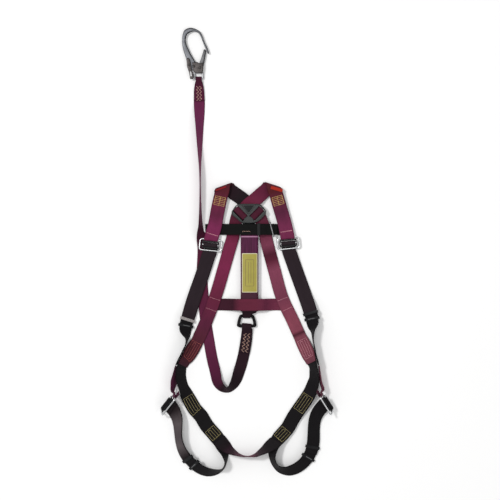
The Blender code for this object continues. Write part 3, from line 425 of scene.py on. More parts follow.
def label_look(name, colour, rough=0.42):
    """Printed tape: satin film with a slight mottle."""
    made, shader = new_material(name, colour, rough)
    shader.inputs["Specular IOR Level"].default_value = 0.25
    n = Nodes(made.node_tree)
    here = n.place()
    mottle = n.noise(here, 38.0, 4.0, 0.6)
    n.plug(shader.inputs["Base Color"], n.mix(n.span(mottle, 0.3, 0.75), colour, tuple(c * 0.84 for c in colour)))
    n.plug(shader.inputs["Normal"], n.bump(n.noise(here, 900.0, 2.0), 0.00005, 0.5))
    return made


def elastic_look():
    """Ribbed elastic: fine raised cords along the band, dull white rubber showing through."""
    made, shader = new_material("elastic_band", srgb(150, 144, 142), 0.85)
    n = Nodes(made.node_tree)
    here = n.place()
    ribs = n.math("SINE", n.math("MULTIPLY", n.noise(here, 420.0, 1.0), 30.0))
    n.plug(shader.inputs["Base Color"], n.mix(n.span(ribs, -1.0, 1.0), srgb(112, 106, 106), srgb(176, 170, 168)))
    n.plug(shader.inputs["Normal"], n.bump(ribs, 0.0002, 0.5))
    shader.inputs["Sheen Weight"].default_value = 0.3
    return made


# ---------------------------------------------------------------- routes of the webbing

def frame_matrix(centre, across, normal):
    """Frame at a point in millimetres: X across, Z along the normal, Y made from both."""
    normal = Vector(normal).normalized()
    across = Vector(across)
    across = (across - normal * across.dot(normal)).normalized()
    turn = Matrix((across, normal.cross(across), normal)).transposed().to_4x4()
    return Matrix.Translation(Vector(centre)) @ turn


def smooth(stations, step):
    """Read a smooth curve through stations of equal size, about `step` apart."""
    spans = [(Vector(b[:3]) - Vector(a[:3])).length for a, b in zip(stations, stations[1:])]
    rises = [(b - a) / h for a, b, h in zip(stations, stations[1:], spans)]
    slopes = [rises[0]]
    for before, after, h0, h1 in zip(rises, rises[1:], spans, spans[1:]):
        slopes.append((after * h0 + before * h1) / (h0 + h1))
    slopes.append(rises[-1])
    read = []
    for i, span in enumerate(spans):
        count = max(1, round(span / step))
        for k in range(count):
            t = k / count
            a = stations[i] * (2 * t ** 3 - 3 * t ** 2 + 1)
            b = slopes[i] * ((t ** 3 - 2 * t ** 2 + t) * span)
            c = stations[i + 1] * (3 * t ** 2 - 2 * t ** 3)
            d = slopes[i + 1] * ((t ** 3 - t ** 2) * span)
            read.append(a + b + c + d)
    read.append(stations[-1])
    return read


def lie(stations, width=WEB, step=STEP):
    """Strap frames (middle, side, width) through (x, y, bottom, lean[, width]) stations."""
    full = []
    for x, y, bottom, lean, *own in stations:
        wide = own[0] if own else width
        angle = math.radians(lean)
        rise = (abs(math.sin(angle)) * wide + abs(math.cos(angle)) * WEB_THICK) / 2
        full.append(Vector((x, y, bottom + rise, lean, wide)))
    read = smooth(full, step)
    frames = []
    for i, here in enumerate(read):
        heading = Vector((read[min(i + 1, len(read) - 1)] - read[max(i - 1, 0)])[:3]).normalized()
        right = heading.cross(UP).normalized()
        angle = math.radians(here[3])
        side = right * math.cos(angle) + UP * math.sin(angle)
        side = (side - heading * side.dot(heading)).normalized()
        frames.append((Vector(here[:3]), side, here[4]))
    return frames


def offset(frames, distance):
    """The frames of a strap stacked on another: moved along its upward face."""
    moved = []
    for i, (point, side, wide) in enumerate(frames):
        heading = (frames[min(i + 1, len(frames) - 1)][0] - frames[max(i - 1, 0)][0]).normalized()
        moved.append((point + side.cross(heading) * distance, side, wide))
    return moved


def around(centre, axis, first, radius, turn, width, count=8):
    """Strap frames round a bar, from the direction `first` through `turn` degrees."""
    axis = Vector(axis).normalized()
    first = Vector(first).normalized() * radius
    return [(Vector(centre) + Matrix.Rotation(math.radians(turn * i / count), 3, axis) @ first, axis, width)
            for i in range(count + 1)]


def shoulder_fold(centre, along, outward, approach, count=8):
    """Strap frames over a diagonal fold round the line `along`, from its top to its underside."""
    along = Vector(along).normalized()
    outward = Vector(outward).normalized()
    angle = math.radians(approach)
    frames = []
    for i in range(count + 1):
        turn = math.pi * i / count
        round_out = outward * math.sin(turn) + UP * math.cos(turn)
        point = Vector(centre) + along * (turn - math.pi / 2) * FOLD_RADIUS / math.tan(angle)
        point += round_out * FOLD_RADIUS
        frames.append((point, along, WEB / math.sin(angle)))
    return frames


def nearest(frames, x, y):
    """The number of the frame closest to a place on the surface."""
    return min(range(len(frames)), key=lambda i: (frames[i][0].xy - Vector((x, y))).length)


def place_in(matrix, across, up, normal):
    """A point given in a frame, in millimetres."""
    return matrix @ Vector((across, up, normal))


BAR_LOOP = [(-5.6, 5.0), (-5.5, 8.6), (-4.3, 11.2), (0.0, 12.2), (4.3, 11.2), (5.5, 8.6), (5.6, 5.0)]
CHEST_TAIL_PATH = [(-25.0, -4.4), (-16.5, -4.4), (-9.5, -2.0), (-6.2, 1.6)]
CHEST_MAIN_PATH = [(5.2, 1.0), (2.6, -4.2), (-4.5, -6.8), (-14.0, -7.1), (-25.0, -7.1)]
LEG_OUTER_PATH = [(-7.0, -7.6), (-5.7, -1.0)]
LEG_INNER_PATH = [(5.2, 0.5), (1.6, -3.4), (-4.4, -7.4)]


def threaded(matrix, before, after):
    """Strap frames over a buckle's bar, between two short paths in the ring's frame."""
    side = matrix.to_3x3() @ Vector((1.0, 0.0, 0.0))
    return [(place_in(matrix, 0.0, up, normal), side, WEB) for up, normal in before + BAR_LOOP + after]


def bridge_path(centre, hand):
    """Strap frames through a pair of slots in the dorsal plate and over the bar between them."""
    down = Vector((hand, -1.0, 0.0)).normalized()
    side = Vector((hand, 1.0, 0.0)).normalized()
    rise = [(-10.2, 16.5), (-8.6, 20.0), (-7.6, 22.8), (-5.2, 24.2)]
    path = rise + [(-s, z) for s, z in reversed(rise)]
    return [(Vector((centre[0], centre[1], z)) + down * s, side, SLOT_WEB) for s, z in path]


CHEST_LEFT = frame_matrix((-117, 272, RING_HEIGHT), (0.9945, -0.1045, 0), (0, 0, 1))
CHEST_RIGHT = frame_matrix((132, 278, RING_HEIGHT), (0.9945, 0.1045, 0), (0, 0, 1))
LEG_LEFT = frame_matrix((-252, -238, 28), (-0.534, -0.810, -0.242), (-0.785, 0.517, 0.342))
LEG_RIGHT = frame_matrix((254, -236, 28), (-0.446, 0.862, 0.242), (0.834, 0.432, 0.342))
BRIDGE_RIGHT = (DORSAL_CENTRE[0] + BRIDGE_OFFSET[0], DORSAL_CENTRE[1] + BRIDGE_OFFSET[1])
BRIDGE_LEFT = (DORSAL_CENTRE[0] - BRIDGE_OFFSET[0], DORSAL_CENTRE[1] + BRIDGE_OFFSET[1])


def shoulder_strap_left():
    bar = place_in(CHEST_LEFT, 0.0, RING_SPAN[1] / 2, 0.0)
    axis = CHEST_LEFT.to_3x3() @ Vector((1.0, 0.0, 0.0))
    loop = RING_ROD + GAP + WEB_THICK / 2
    frames = [(Vector((-109.5, 319.0, RING_HEIGHT - loop)), -axis, WEB)]
    frames += around(bar, axis, (0, 0, -1), loop, -180.0, WEB)
    frames += lie([(-113.5, 296, 14.6, 0), (-106, 322, 11.6, 0), (-91, 396, 13.5, 0), (-82, 436, 16.6, 0)])
    frames += shoulder_fold((-72.7, 455.4, 4.0 + FOLD_RADIUS), (0.942, 0.335, 0), (-0.335, 0.942, 0), 59.0)
    frames += lie([(-55, 448, 3.4, 0), (-40, 437, 5.0, 0), (-17, 420.5, 11.2, 0), (5, 400, 11.4, 0),
                   (22.6, 382.9, 11.3, 0, SLOT_WEB)])
    frames += bridge_path(BRIDGE_RIGHT, 1.0)
    frames += lie([(42, 361, 14.0, 0), (48, 345, 14.0, 0), (57, 314, 6.2, 0), (62.5, 286, 3.6, 0),
                   (66, 272, 3.4, 0), (88, 190, 3.4, 0), (113, 102, 3.4, 0), (149, 25, 3.4, 0),
                   (170, -22, 3.4, 0)], BACK_WEB)
    return frames + offset(THIGH_RIGHT_START, LAYER)


def shoulder_strap_right():
    bar = place_in(CHEST_RIGHT, 0.0, RING_SPAN[1] / 2, 0.0)
    axis = CHEST_RIGHT.to_3x3() @ Vector((1.0, 0.0, 0.0))
    loop = RING_ROD + GAP + WEB_THICK / 2
    frames = [(Vector((124.5, 326.0, RING_HEIGHT - loop)), -axis, WEB)]
    frames += around(bar, axis, (0, 0, -1), loop, -180.0, WEB)
    frames += lie([(128.5, 302, 14.6, 0), (124, 326, 11.6, 0), (103, 401, 13.5, 0), (92, 440, 16.6, 0)])
    frames += shoulder_fold((80.8, 458.3, 4.0 + FOLD_RADIUS), (-0.95, 0.31, 0), (0.31, 0.95, 0), 60.0)
    frames += lie([(64, 451, 3.4, 0), (48, 437, 7.0, 0), (28, 419, 14.2, 0), (5, 400, 14.2, 0),
                   (-11.5, 384, 14.2, 0, SLOT_WEB)])
    frames += bridge_path(BRIDGE_LEFT, -1.0)
    frames += lie([(-32, 361, 14.0, 0), (-36, 345, 14.0, 0), (-41, 318, 6.2, 0), (-47, 292, 3.6, 0),
                   (-51, 278, 3.4, 0), (-74, 198, 3.4, 0), (-101, 107, 3.4, 0), (-135, 17, 3.4, 0),
                   (-160, -38, 3.4, 0)], BACK_WEB)
    return frames + offset(THIGH_LEFT_START, LAYER)


def front_strap(matrix, stations, tail_end):
    """Front strap: its main run, and all of it with the tail that comes back from the chest buckle."""
    main = lie(stations)
    tail = offset(main, LAYER)[:nearest(main, *tail_end) + 1]
    return main, tail[::-1] + threaded(matrix, CHEST_TAIL_PATH, CHEST_MAIN_PATH) + main


def leg_strap(matrix, stations, tail_end):
    """Leg strap: its main run, and all of it with the tail that comes back from the leg buckle."""
    main = lie(stations)
    path = threaded(matrix, LEG_OUTER_PATH, LEG_INNER_PATH)
    tail = offset(main, LAYER)[nearest(main, *tail_end):]
    return main, main + path[::-1] + tail[::-1]


FRONT_LEFT_STATIONS = [
    (-122.6, 240, 3.9, 0), (-148, 163, 3.0, 0), (-160, 130, 3.0, 2), (-173, 92, 3.0, 6), (-184, 56, 3.0, 15),
    (-191, 33, 4.6, 24), (-195.5, 14, 5.2, 28), (-196.5, 0, 4.6, 35), (-194, -14, 1.5, 56), (-191.5, -29, 0.8, 80),
    (-195, -44, 0.7, 88), (-203.5, -62, 0.7, 88), (-211, -78, 0.7, 88), (-219.5, -94, 0.7, 88),
    (-226, -111, 0.7, 86)]
FRONT_RIGHT_STATIONS = [
    (137, 246, 3.9, 0), (170, 154, 0.8, 0), (188, 104, 1.5, -4), (199, 72, 4.0, -16), (204, 54, 5.0, -22),
    (208, 36, 5.0, -27), (210, 18, 3.4, -40), (210, -4, 1.0, -76), (211, -30, 0.7, -88), (216, -56, 0.7, -88),
    (219, -74, 0.7, -88), (224, -92, 0.7, -88), (229, -111, 0.7, -88)]

THIGH_LEFT_TOP = [
    (-172, -58, 0.6, 4), (-187, -82, 0.6, 20), (-199, -98, 0.6, 42), (-207, -113, 0.6, 48), (-211, -135, 0.6, 48),
    (-209.5, -161, 0.6, 47), (-201.5, -187, 0.8, 46), (-191.5, -211, 2.0, 26)]
THIGH_RIGHT_TOP = [
    (182, -46, 0.6, -4), (195, -74, 0.6, -16), (203, -92, 0.6, -38), (207.5, -104, 0.6, -50), (212, -118, 0.6, -57),
    (214, -138, 0.6, -54), (214.5, -160, 0.7, -46), (210, -178, 0.9, -33), (202, -200, 2.0, -23)]

LEG_LEFT_STATIONS = [
    (-179, -236, 0.5, 12), (-168, -254, 0.5, 8), (-147, -278, 0.5, 5), (-131, -305, 0.5, 5),
    (-109, -331, 0.5, 7), (-97, -345, 0.5, 12), (-90, -353, 0.5, 16), (-77, -378, 0.5, 38), (-69, -402, 0.5, 66),
    (-68, -425, 0.5, 82),
    (-76, -442, 0.8, 80), (-96, -452, 0.8, 60), (-127, -454, 2.0, 44), (-151, -444.5, 4.6, 39),
    (-169, -431, 5.0, 38), (-189, -411, 4.6, 42), (-207, -382, 2.4, 50), (-218, -340, 1.0, 58), (-220, -305, 1.5, 50),
    (-225, -276, 3.5, 34), (-236, -254, 6.0, 20), (-246, -241, 9.0, 14)]
LEG_RIGHT_STATIONS = [
    (190, -222, 0.5, -14), (181, -235, 0.5, -12), (162, -262, 0.5, -8), (146, -287, 0.5, -6),
    (131, -314, 0.5, -8), (112, -336, 0.5, -14), (100, -349, 0.5, -23), (94, -356, 0.5, -28),
    (83, -380, 0.5, -50),
    (81, -408, 0.8, -64), (90, -432, 0.8, -66), (110, -447, 0.8, -52), (135, -450, 2.0, -38),
    (160, -441, 4.4, -32), (186, -420, 5.0, -30), (203, -394, 4.6, -28), (212, -355, 2.0, -28),
    (213, -322, 1.5, -32), (216, -290, 3.5, -30), (226, -264, 6.0, -22), (239, -247, 9.0, -16)]


def sewn_thigh(top, leg_main, sewn_end):
    """Thigh strap: from the hip down on to the leg strap, sewn to it as far as `sewn_end`."""
    under = offset(leg_main, LAYER)
    return lie(top) + under[:nearest(leg_main, *sewn_end) + 1]


def seat_strap():
    """Strap between the leg loops, sewn on to each leg strap just below the end of its thigh strap."""
    left, right = (offset(main, LAYER + 0.6)[nearest(main, *spot)] for main, spot in (
        (LEG_MAIN_LEFT, (-90, -353)), (LEG_MAIN_RIGHT, (94, -356))))
    middle = lie([
        (-72, -369, 2.4, 38), (-56, -383, 1.6, 58), (-45, -389, 1.0, 70), (-29, -397, 0.5, 84), (-14, -402, 0.5, 92),
        (2, -403.5, 0.5, 96), (14, -402.5, 0.5, 92), (28, -399, 0.5, 82), (42, -391, 1.0, 72), (57, -382, 1.6, 60),
        (74, -370, 2.4, 42)])
    return [left] + middle + [right]


def hip_tab(matrix, stations, hand):
    """Tab from the hip round the end of a leg ring, on the side that `hand` gives, and back under itself."""
    turn = matrix.to_3x3()
    across, up, normal = (turn @ Vector(v) for v in ((1, 0, 0), (0, 1, 0), (0, 0, 1)))
    end = place_in(matrix, hand * RING_SPAN[0] / 2, 0.0, 0.0)
    loop = RING_ROD + GAP + WEB_THICK / 2
    narrow = 22.0
    away = across * hand
    frames = lie(stations)
    frames.append((end + away * 9.0 + normal * loop, up, narrow))
    frames += around(end, up, normal, loop, -180.0 * hand, narrow)
    frames += [(end + away * s - normal * loop, up, narrow) for s in (9.0, 20.0)]
    return frames


def lanyard_frames():
    """The lanyard's free run: from the absorber's link, a turn below the waist, up to the hook."""
    stations = [
        (1, 1, 0.7, 0, 35), (-2, -30, 0.7, 0, 37), (-9.5, -75, 0.7, 0, 37), (-26, -135, 0.7, 8, 37),
        (-42, -174, 0.7, 35, 36), (-62, -192, 0.7, 56), (-84, -182, 0.7, 35), (-104, -125, 0.7, 6), (-123, -31, 0.5, 0),
        (-131, 18, 0.5, 0), (-139, 86, 0.5, 0), (-144, 192, 0.5, 0), (-142, 232, 0.7, 0), (-141.5, 264, 0.9, -1),
        (-144.5, 290, 1.0, -14), (-148.5, 309, 0.8, -48), (-148.3, 330, 0.8, -66), (-148.8, 362, 0.8, -76),
        (-149.3, 410, 0.8, -84),
        (-149.8, 460, 0.8, -88), (-150.2, 512, 0.8, -84), (-150.8, 563, 0.8, -71), (-151.5, 614, 0.8, -57),
        (-152.2, 666, 0.8, -40), (-152.8, 709, 0.8, -16), (-153.2, 735, 0.7, 0), (-153.5, 750, 0.7, 0, 34),
        (-153.8, 764, 1.0, 0, 33), (-154.1, 778, 1.7, 0, 30), (-154.4, 790, 2.6, 0, 26)]
    return lie(stations, LANYARD_WEB)


def sewn_eye(bar, rod_radius, strap, width):
    """An eye at a strap's end: round a bar and back on top of the strap, to be sewn down.

    `strap` is the strap's frames from the end that meets the eye.
    """
    end, side, wide = strap[0]
    heading = (end - strap[1][0]).normalized()
    loop = rod_radius + EYE_SLACK + WEB_THICK / 2
    bar = Vector(bar)
    back = 5.0 * math.copysign(1.0, heading.y)
    frames = [(end + heading * GAP, side, wide), (Vector((bar.x, bar.y - back, bar.z - loop + 0.1)), side, width)]
    frames += around(bar, UP.cross(heading), (0, 0, 1), loop, 180.0, width)[::-1]
    frames.append((Vector((bar.x, bar.y - 1.2 * back, bar.z + loop - 0.6)), side, width))
    on_top = [(point + UP * LAYER, side, wide) for point, side, wide in strap[1:EYE_FRAMES]]
    return frames + on_top


# ---------------------------------------------------------------- straps as meshes

STRAP_THICK = 2.1
WOBBLE = 0.32          # how far webbing waves out of its line
WOBBLE_SCALE = 0.016
LOOKS = {}


def plain(colour):
    """Colour stops of a strap that is the same from end to end."""
    return [(0.0, colour), (1.0, colour)]


class Strap:
    """A strap of webbing: its fine frames, its mesh, and places on its faces for stitching.

    Its colour runs through stops of (share of its length or a place on it, colour), in order along it; the stops hold
    the webbing's dye together with painted shade and painted highlight.
    """

    def __init__(self, name, frames, look, stops, slot, waves=WOBBLE, columns=14):
        sides = [frames[0][1]]
        for _, side, _ in frames[1:]:
            sides.append(side if side.dot(sides[-1]) > 0 else -side)
        rows = [Vector((*p, *s, w)) for (p, _, w), s in zip(frames, sides)]
        kept = [rows[0]]
        for row in rows[1:]:
            if (Vector(row[:3]) - Vector(kept[-1][:3])).length > 0.25:
                kept.append(row)
        fine = np.array(smooth(kept, FINE_STEP))
        self.middle = fine[:, :3]
        heading = np.gradient(self.middle, axis=0)
        heading /= np.linalg.norm(heading, axis=1, keepdims=True)
        side = fine[:, 3:6]
        side = side - heading * np.sum(side * heading, axis=1, keepdims=True)
        # A fold's cross-section slants, so it keeps the direction that it was given.
        slant = np.abs(np.sum(fine[:, 3:6] * heading, axis=1, keepdims=True)) > 0.3
        side = np.where(slant, fine[:, 3:6], side)
        self.side = side / np.linalg.norm(side, axis=1, keepdims=True)
        self.normal = np.cross(self.side, heading)
        self.normal /= np.linalg.norm(self.normal, axis=1, keepdims=True)
        self.heading = heading
        self.width = fine[:, 6]
        self.length = np.concatenate([[0.0], np.cumsum(np.linalg.norm(np.diff(self.middle, axis=0), axis=1))])
        self.waves = waves
        self.name = name
        self.object = self.build(name, look, stops, columns)
        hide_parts(name)
        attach(self.object, "harness")

    def lift(self, points, normals):
        """Small waves out of the strap's line, the same for straps that lie on each other."""
        rise = np.array([noise.noise(Vector((p[0] * WOBBLE_SCALE, p[1] * WOBBLE_SCALE, 2.7))) for p in points])
        return normals * (normals[:, 2] * rise * self.waves)[:, None]

    def build(self, name, look, stops, columns):
        share = np.linspace(-1.0, 1.0, columns + 1)
        share = np.sign(share) * np.abs(share) ** 0.8
        rim = 1.0 - 0.55 * np.clip((np.abs(share) - 0.93) / 0.07, 0.0, 1.0) ** 2
        top = [(u, STRAP_THICK / 2 * r) for u, r in zip(share, rim)]
        profile = top + [(u, -h) for u, h in reversed(top)]
        count, ring = len(self.middle), len(profile)
        points = np.zeros((count, ring, 3))
        data = np.zeros((count, ring, 3))
        for j, (u, h) in enumerate(profile):
            base = self.middle + self.side * (u * self.width / 2)[:, None]
            points[:, j] = base + self.normal * h + self.lift(base, self.normal)
            data[:, j, 0] = u * self.width / 2 * MM + (0.5 if h < 0 else 0.0)
            data[:, j, 1] = self.length * MM
            data[:, j, 2] = abs(u)
        mesh = bpy.data.meshes.new(name + "_web")
        faces = []
        for i in range(count - 1):
            a, b = i * ring, (i + 1) * ring
            for j in range(ring):
                k = (j + 1) % ring
                faces.append((a + j, a + k, b + k, b + j))
        faces.append(tuple(range(ring - 1, -1, -1)))
        faces.append(tuple(range((count - 1) * ring, count * ring)))
        mesh.from_pydata((points.reshape(-1, 3) * MM).tolist(), [], faces)
        places = [self.find(*place) if isinstance(place, tuple) else place * self.length[-1] for place, _ in stops]
        colours = np.repeat(np.stack([np.interp(self.length, places, [colour[k] for _, colour in stops])
                                      for k in range(3)], axis=1), ring, axis=0)
        web = mesh.attributes.new("strap", "FLOAT_VECTOR", "POINT")
        web.data.foreach_set("vector", data.reshape(-1).astype(np.float32))
        tone = mesh.attributes.new("tone", "FLOAT_COLOR", "POINT")
        tone.data.foreach_set("color", np.concatenate(
            [colours, np.ones((len(colours), 1))], axis=1).reshape(-1).astype(np.float32))
        face_outward(mesh)
        mesh.shade_smooth()
        mesh.materials.append(look)
        return link(name + "_web", mesh)

    def find(self, x, y, top=True):
        """Distance along the strap of the place nearest to (x, y), on its upper layer if it has two."""
        away = np.hypot(self.middle[:, 0] - x, self.middle[:, 1] - y)
        score = away - self.middle[:, 2] * (0.8 if top else -0.8)
        return float(self.length[int(np.argmin(np.where(away < away.min() + 12.0, score, 1e9)))])

    def at(self, along, across):
        """Points on the strap's upper face and the normals there."""
        along, across = np.asarray(along, float), np.asarray(across, float)
        read = [np.stack([np.interp(along, self.length, row[:, k]) for k in range(3)], axis=1)
                for row in (self.middle, self.side, self.normal)]
        middle, side, normal = read
        side /= np.linalg.norm(side, axis=1, keepdims=True)
        normal /= np.linalg.norm(normal, axis=1, keepdims=True)
        base = middle + side * across[:, None]
        out = normal * (1.0 if normal[:, 2].mean() > 0 else -1.0)
        return base + self.lift(base, normal) + out * (STRAP_THICK / 2), out


# ---------------------------------------------------------------- stitching

STITCH = 3.2
STITCH_GAP = 0.7
THREAD = 0.62
THICK_THREAD = 0.8
BOX_INSET = 4.5        # from a sewn box's outline to the rows inside it
TACK_PITCH = 1.5


def stitching(name, runs, look, radius=THREAD):
    """Thread sewn along runs of (points, normals): one small arched strand for each stitch."""
    strand_rings = 5
    sides = 6
    all_points, faces = [], []
    for points, normals in runs:
        steps = np.linalg.norm(np.diff(points, axis=0), axis=1)
        length = np.concatenate([[0.0], np.cumsum(steps)])
        count = max(1, int(round(length[-1] / STITCH)))
        pitch = length[-1] / count
        for s in range(count):
            t = np.linspace(s * pitch + STITCH_GAP / 2, (s + 1) * pitch - STITCH_GAP / 2, strand_rings)
            line = np.stack([np.interp(t, length, points[:, k]) for k in range(3)], axis=1)
            out = np.stack([np.interp(t, length, normals[:, k]) for k in range(3)], axis=1)
            out /= np.linalg.norm(out, axis=1, keepdims=True)
            heading = line[-1] - line[0]
            size = np.linalg.norm(heading)
            if size < 0.3:
                continue
            heading /= size
            cross = np.cross(heading, out)
            arch = np.array([-0.70, 0.38, 0.62, 0.38, -0.70]) * radius
            fat = np.array([0.45, 0.95, 1.0, 0.95, 0.45]) * radius
            start = len(all_points)
            for r in range(strand_rings):
                for q in range(sides):
                    turn = 2 * math.pi * q / sides
                    all_points.append(line[r] + out[r] * (arch[r] + math.sin(turn) * fat[r] * 0.85)
                                      + cross[r] * math.cos(turn) * fat[r])
            for r in range(strand_rings - 1):
                for q in range(sides):
                    a = start + r * sides + q
                    b = start + r * sides + (q + 1) % sides
                    faces.append((a, b, b + sides, a + sides))
            faces.append(tuple(start + q for q in range(sides - 1, -1, -1)))
            faces.append(tuple(start + (strand_rings - 1) * sides + q for q in range(sides)))
    mesh = bpy.data.meshes.new(name)
    mesh.from_pydata([tuple(p * MM) for p in all_points], [], faces)
    face_outward(mesh)
    mesh.shade_smooth()
    mesh.materials.append(look)
    return finish_piece(link(name, mesh))


def seam(strap, start, end, across0, across1):
    """A straight seam on a strap between two distances along it."""
    t = np.linspace(0.0, 1.0, max(2, int(abs(end - start) / 2) + int(abs(across1 - across0) / 2) + 2))
    return strap.at(start + (end - start) * t, across0 + (across1 - across0) * t)


def sewn_box(strap, x, y, long, wide, lines=3):
    """A box of stitching round lengthwise rows that turn at its ends."""
    middle = strap.find(x, y)
    a, b = middle - long / 2, middle + long / 2
    w = wide / 2
    runs = [seam(strap, a, b, -w, -w), seam(strap, b, b, -w, w), seam(strap, b, a, w, w), seam(strap, a, a, w, -w)]
    rows = np.linspace(-w, w, lines + 2)[1:-1]
    for i, row in enumerate(rows):
        ends = (a + BOX_INSET, b - BOX_INSET) if i % 2 == 0 else (b - BOX_INSET, a + BOX_INSET)
        runs.append(seam(strap, *ends, row, row))
        if i < len(rows) - 1:
            runs.append(seam(strap, ends[1], ends[1], row, rows[i + 1]))
    return runs


def bar_tack(strap, x, y, wide, rows=2):
    """Close rows of stitches straight across a strap."""
    middle = strap.find(x, y)
    return [seam(strap, middle + (i - (rows - 1) / 2) * TACK_PITCH, middle + (i - (rows - 1) / 2) * TACK_PITCH,
                 -wide / 2, wide / 2) for i in range(rows)]


def zigzag(strap, a, b, across, reach, turns):
    """One column of zigzag stitching between two distances along a strap."""
    count = turns * 2 + 1
    along = np.linspace(a, b, count)
    side = across + reach * np.array([1 if i % 2 else -1 for i in range(count)])
    fine_t = np.linspace(0, count - 1, (count - 1) * 5 + 1)
    return [strap.at(np.interp(fine_t, range(count), along), np.interp(fine_t, range(count), side))]


# ---------------------------------------------------------------- hard pieces

def finish_piece(piece, body="harness", nodes=()):
    """Hide the CAD nodes that a piece stands for, and attach the piece to the body that it moves with."""
    if nodes:
        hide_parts(*nodes)
    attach(piece, body)
    return piece


WELD = 1e-6


def to_mesh(curve, name, look, matrix=None, angle=40.0):
    """Turn a curve into a closed mesh object with smooth round faces."""
    holder = link(name + "_curve", curve)
    bpy.context.view_layer.update()
    graph = bpy.context.evaluated_depsgraph_get()
    mesh = bpy.data.meshes.new_from_object(holder.evaluated_get(graph))
    bpy.data.objects.remove(holder)
    bpy.data.curves.remove(curve)
    face_outward(mesh, WELD)
    mesh.materials.clear()
    mesh.materials.append(look)
    mesh.shade_smooth()
    mesh.set_sharp_from_angle(angle=math.radians(angle))
    made = link(name, mesh)
    if matrix is not None:
        scaled = matrix.copy()
        scaled.translation = scaled.translation * MM
        made.matrix_world = scaled
    return made


def plate(name, outlines, thick, matrix, look, bevel=0.5):
    """A flat piece with holes and rounded edges."""
    curve = bpy.data.curves.new(name, "CURVE")
    curve.dimensions = "2D"
    curve.fill_mode = "BOTH"
    curve.extrude = (thick / 2 - bevel) * MM
    curve.bevel_depth = bevel * MM
    curve.bevel_resolution = 2
    curve.offset = -bevel * MM
    curve.resolution_u = 10
    for points in outlines:
        spline = curve.splines.new("POLY")
        spline.points.add(len(points) - 1)
        for knot, (x, y) in zip(spline.points, points):
            knot.co = (x * MM, y * MM, 0.0, 1.0)
        spline.use_cyclic_u = True
    return to_mesh(curve, name, look, matrix)


def rod(name, points, radius, look, matrix=None, closed=False, sides=5):
    """A bent round rod through points in millimetres."""
    curve = bpy.data.curves.new(name, "CURVE")
    curve.dimensions = "3D"
    curve.bevel_depth = radius * MM
    curve.bevel_resolution = sides
    curve.use_fill_caps = not closed
    spline = curve.splines.new("POLY")
    spline.points.add(len(points) - 1)
    for knot, point in zip(spline.points, points):
        knot.co = (*(Vector(point) * MM), 1.0)
    spline.use_cyclic_u = closed
    return to_mesh(curve, name, look, matrix, 60.0)


def turned(name, profile, place, look, sides=28):
    """A turned piece round Z: (radius, height) points from the bottom centre to the top centre."""
    mesh = bpy.data.meshes.new(name)
    shape = bmesh.new()
    rings = []
    for radius, height in profile:
        if radius < 1e-6:
            rings.append([shape.verts.new((0.0, 0.0, height * MM))])
        else:
            rings.append([shape.verts.new((radius * MM * math.cos(2 * math.pi * k / sides),
                                           radius * MM * math.sin(2 * math.pi * k / sides), height * MM))
                          for k in range(sides)])
    for low, high in zip(rings, rings[1:]):
        for k in range(sides):
            j = (k + 1) % sides
            if len(low) == 1:
                shape.faces.new((low[0], high[j], high[k]))
            elif len(high) == 1:
                shape.faces.new((low[k], low[j], high[0]))
            else:
                shape.faces.new((low[k], low[j], high[j], high[k]))
    bmesh.ops.recalc_face_normals(shape, faces=shape.faces)
    shape.to_mesh(mesh)
    shape.free()
    mesh.materials.append(look)
    mesh.shade_smooth()
    mesh.set_sharp_from_angle(angle=math.radians(35))
    made = link(name, mesh)
    made.matrix_world = Matrix.Translation(Vector(place) * MM)
    return made


def box_points(width, height, radius, corner_steps=8):
    """A rounded rectangle round the origin, anticlockwise, in millimetres."""
    points = []
    for quarter, (sx, sy) in enumerate(((1, 1), (-1, 1), (-1, -1), (1, -1))):
        for k in range(corner_steps + 1):
            angle = math.pi / 2 * (quarter + k / corner_steps)
            points.append((sx * (width / 2 - radius) + radius * math.cos(angle),
                           sy * (height / 2 - radius) + radius * math.sin(angle)))
    return points


def circle(centre, radius):
    """A round hole's outline, in 24 steps."""
    count = 24
    turns = [2 * math.pi * k / count for k in range(count)]
    return [(centre[0] + radius * math.cos(t), centre[1] + radius * math.sin(t)) for t in turns]


def strap_matrix(frames, index, lift=0.0):
    """Frame across a strap: X along its width, Y through its thickness, Z along it."""
    point, side, _ = frames[index]
    heading = (frames[index + 1][0] - frames[index - 1][0]).normalized()
    return frame_matrix(point + side.cross(heading) * lift, side, heading)


def band(name, matrix, inner, wall, length, look):
    """A flat loop of the given opening (width, height) and wall, as long as `length` along a strap."""
    outer = (inner[0] + 2 * wall, inner[1] + 2 * wall)
    return plate(name, [box_points(*outer, wall, 5), box_points(*inner, 0.9, 3)], length, matrix, look, 0.4)


def smooth_loop(points, per_side=5):
    """More points on a smooth closed line through the given ones."""
    rows = [Vector(p) for p in points]
    rows = [rows[-1]] + rows + [rows[0], rows[1]]
    read = []
    for i in range(1, len(rows) - 2):
        p0, p1, p2, p3 = rows[i - 1:i + 3]
        for k in range(per_side):
            t = k / per_side
            read.append(0.5 * ((2 * p1) + (p2 - p0) * t + (2 * p0 - 5 * p1 + 4 * p2 - p3) * t * t
                               + (3 * p1 - p0 - 3 * p2 + p3) * t ** 3))
    return read


# ---------------------------------------------------------------- assembly

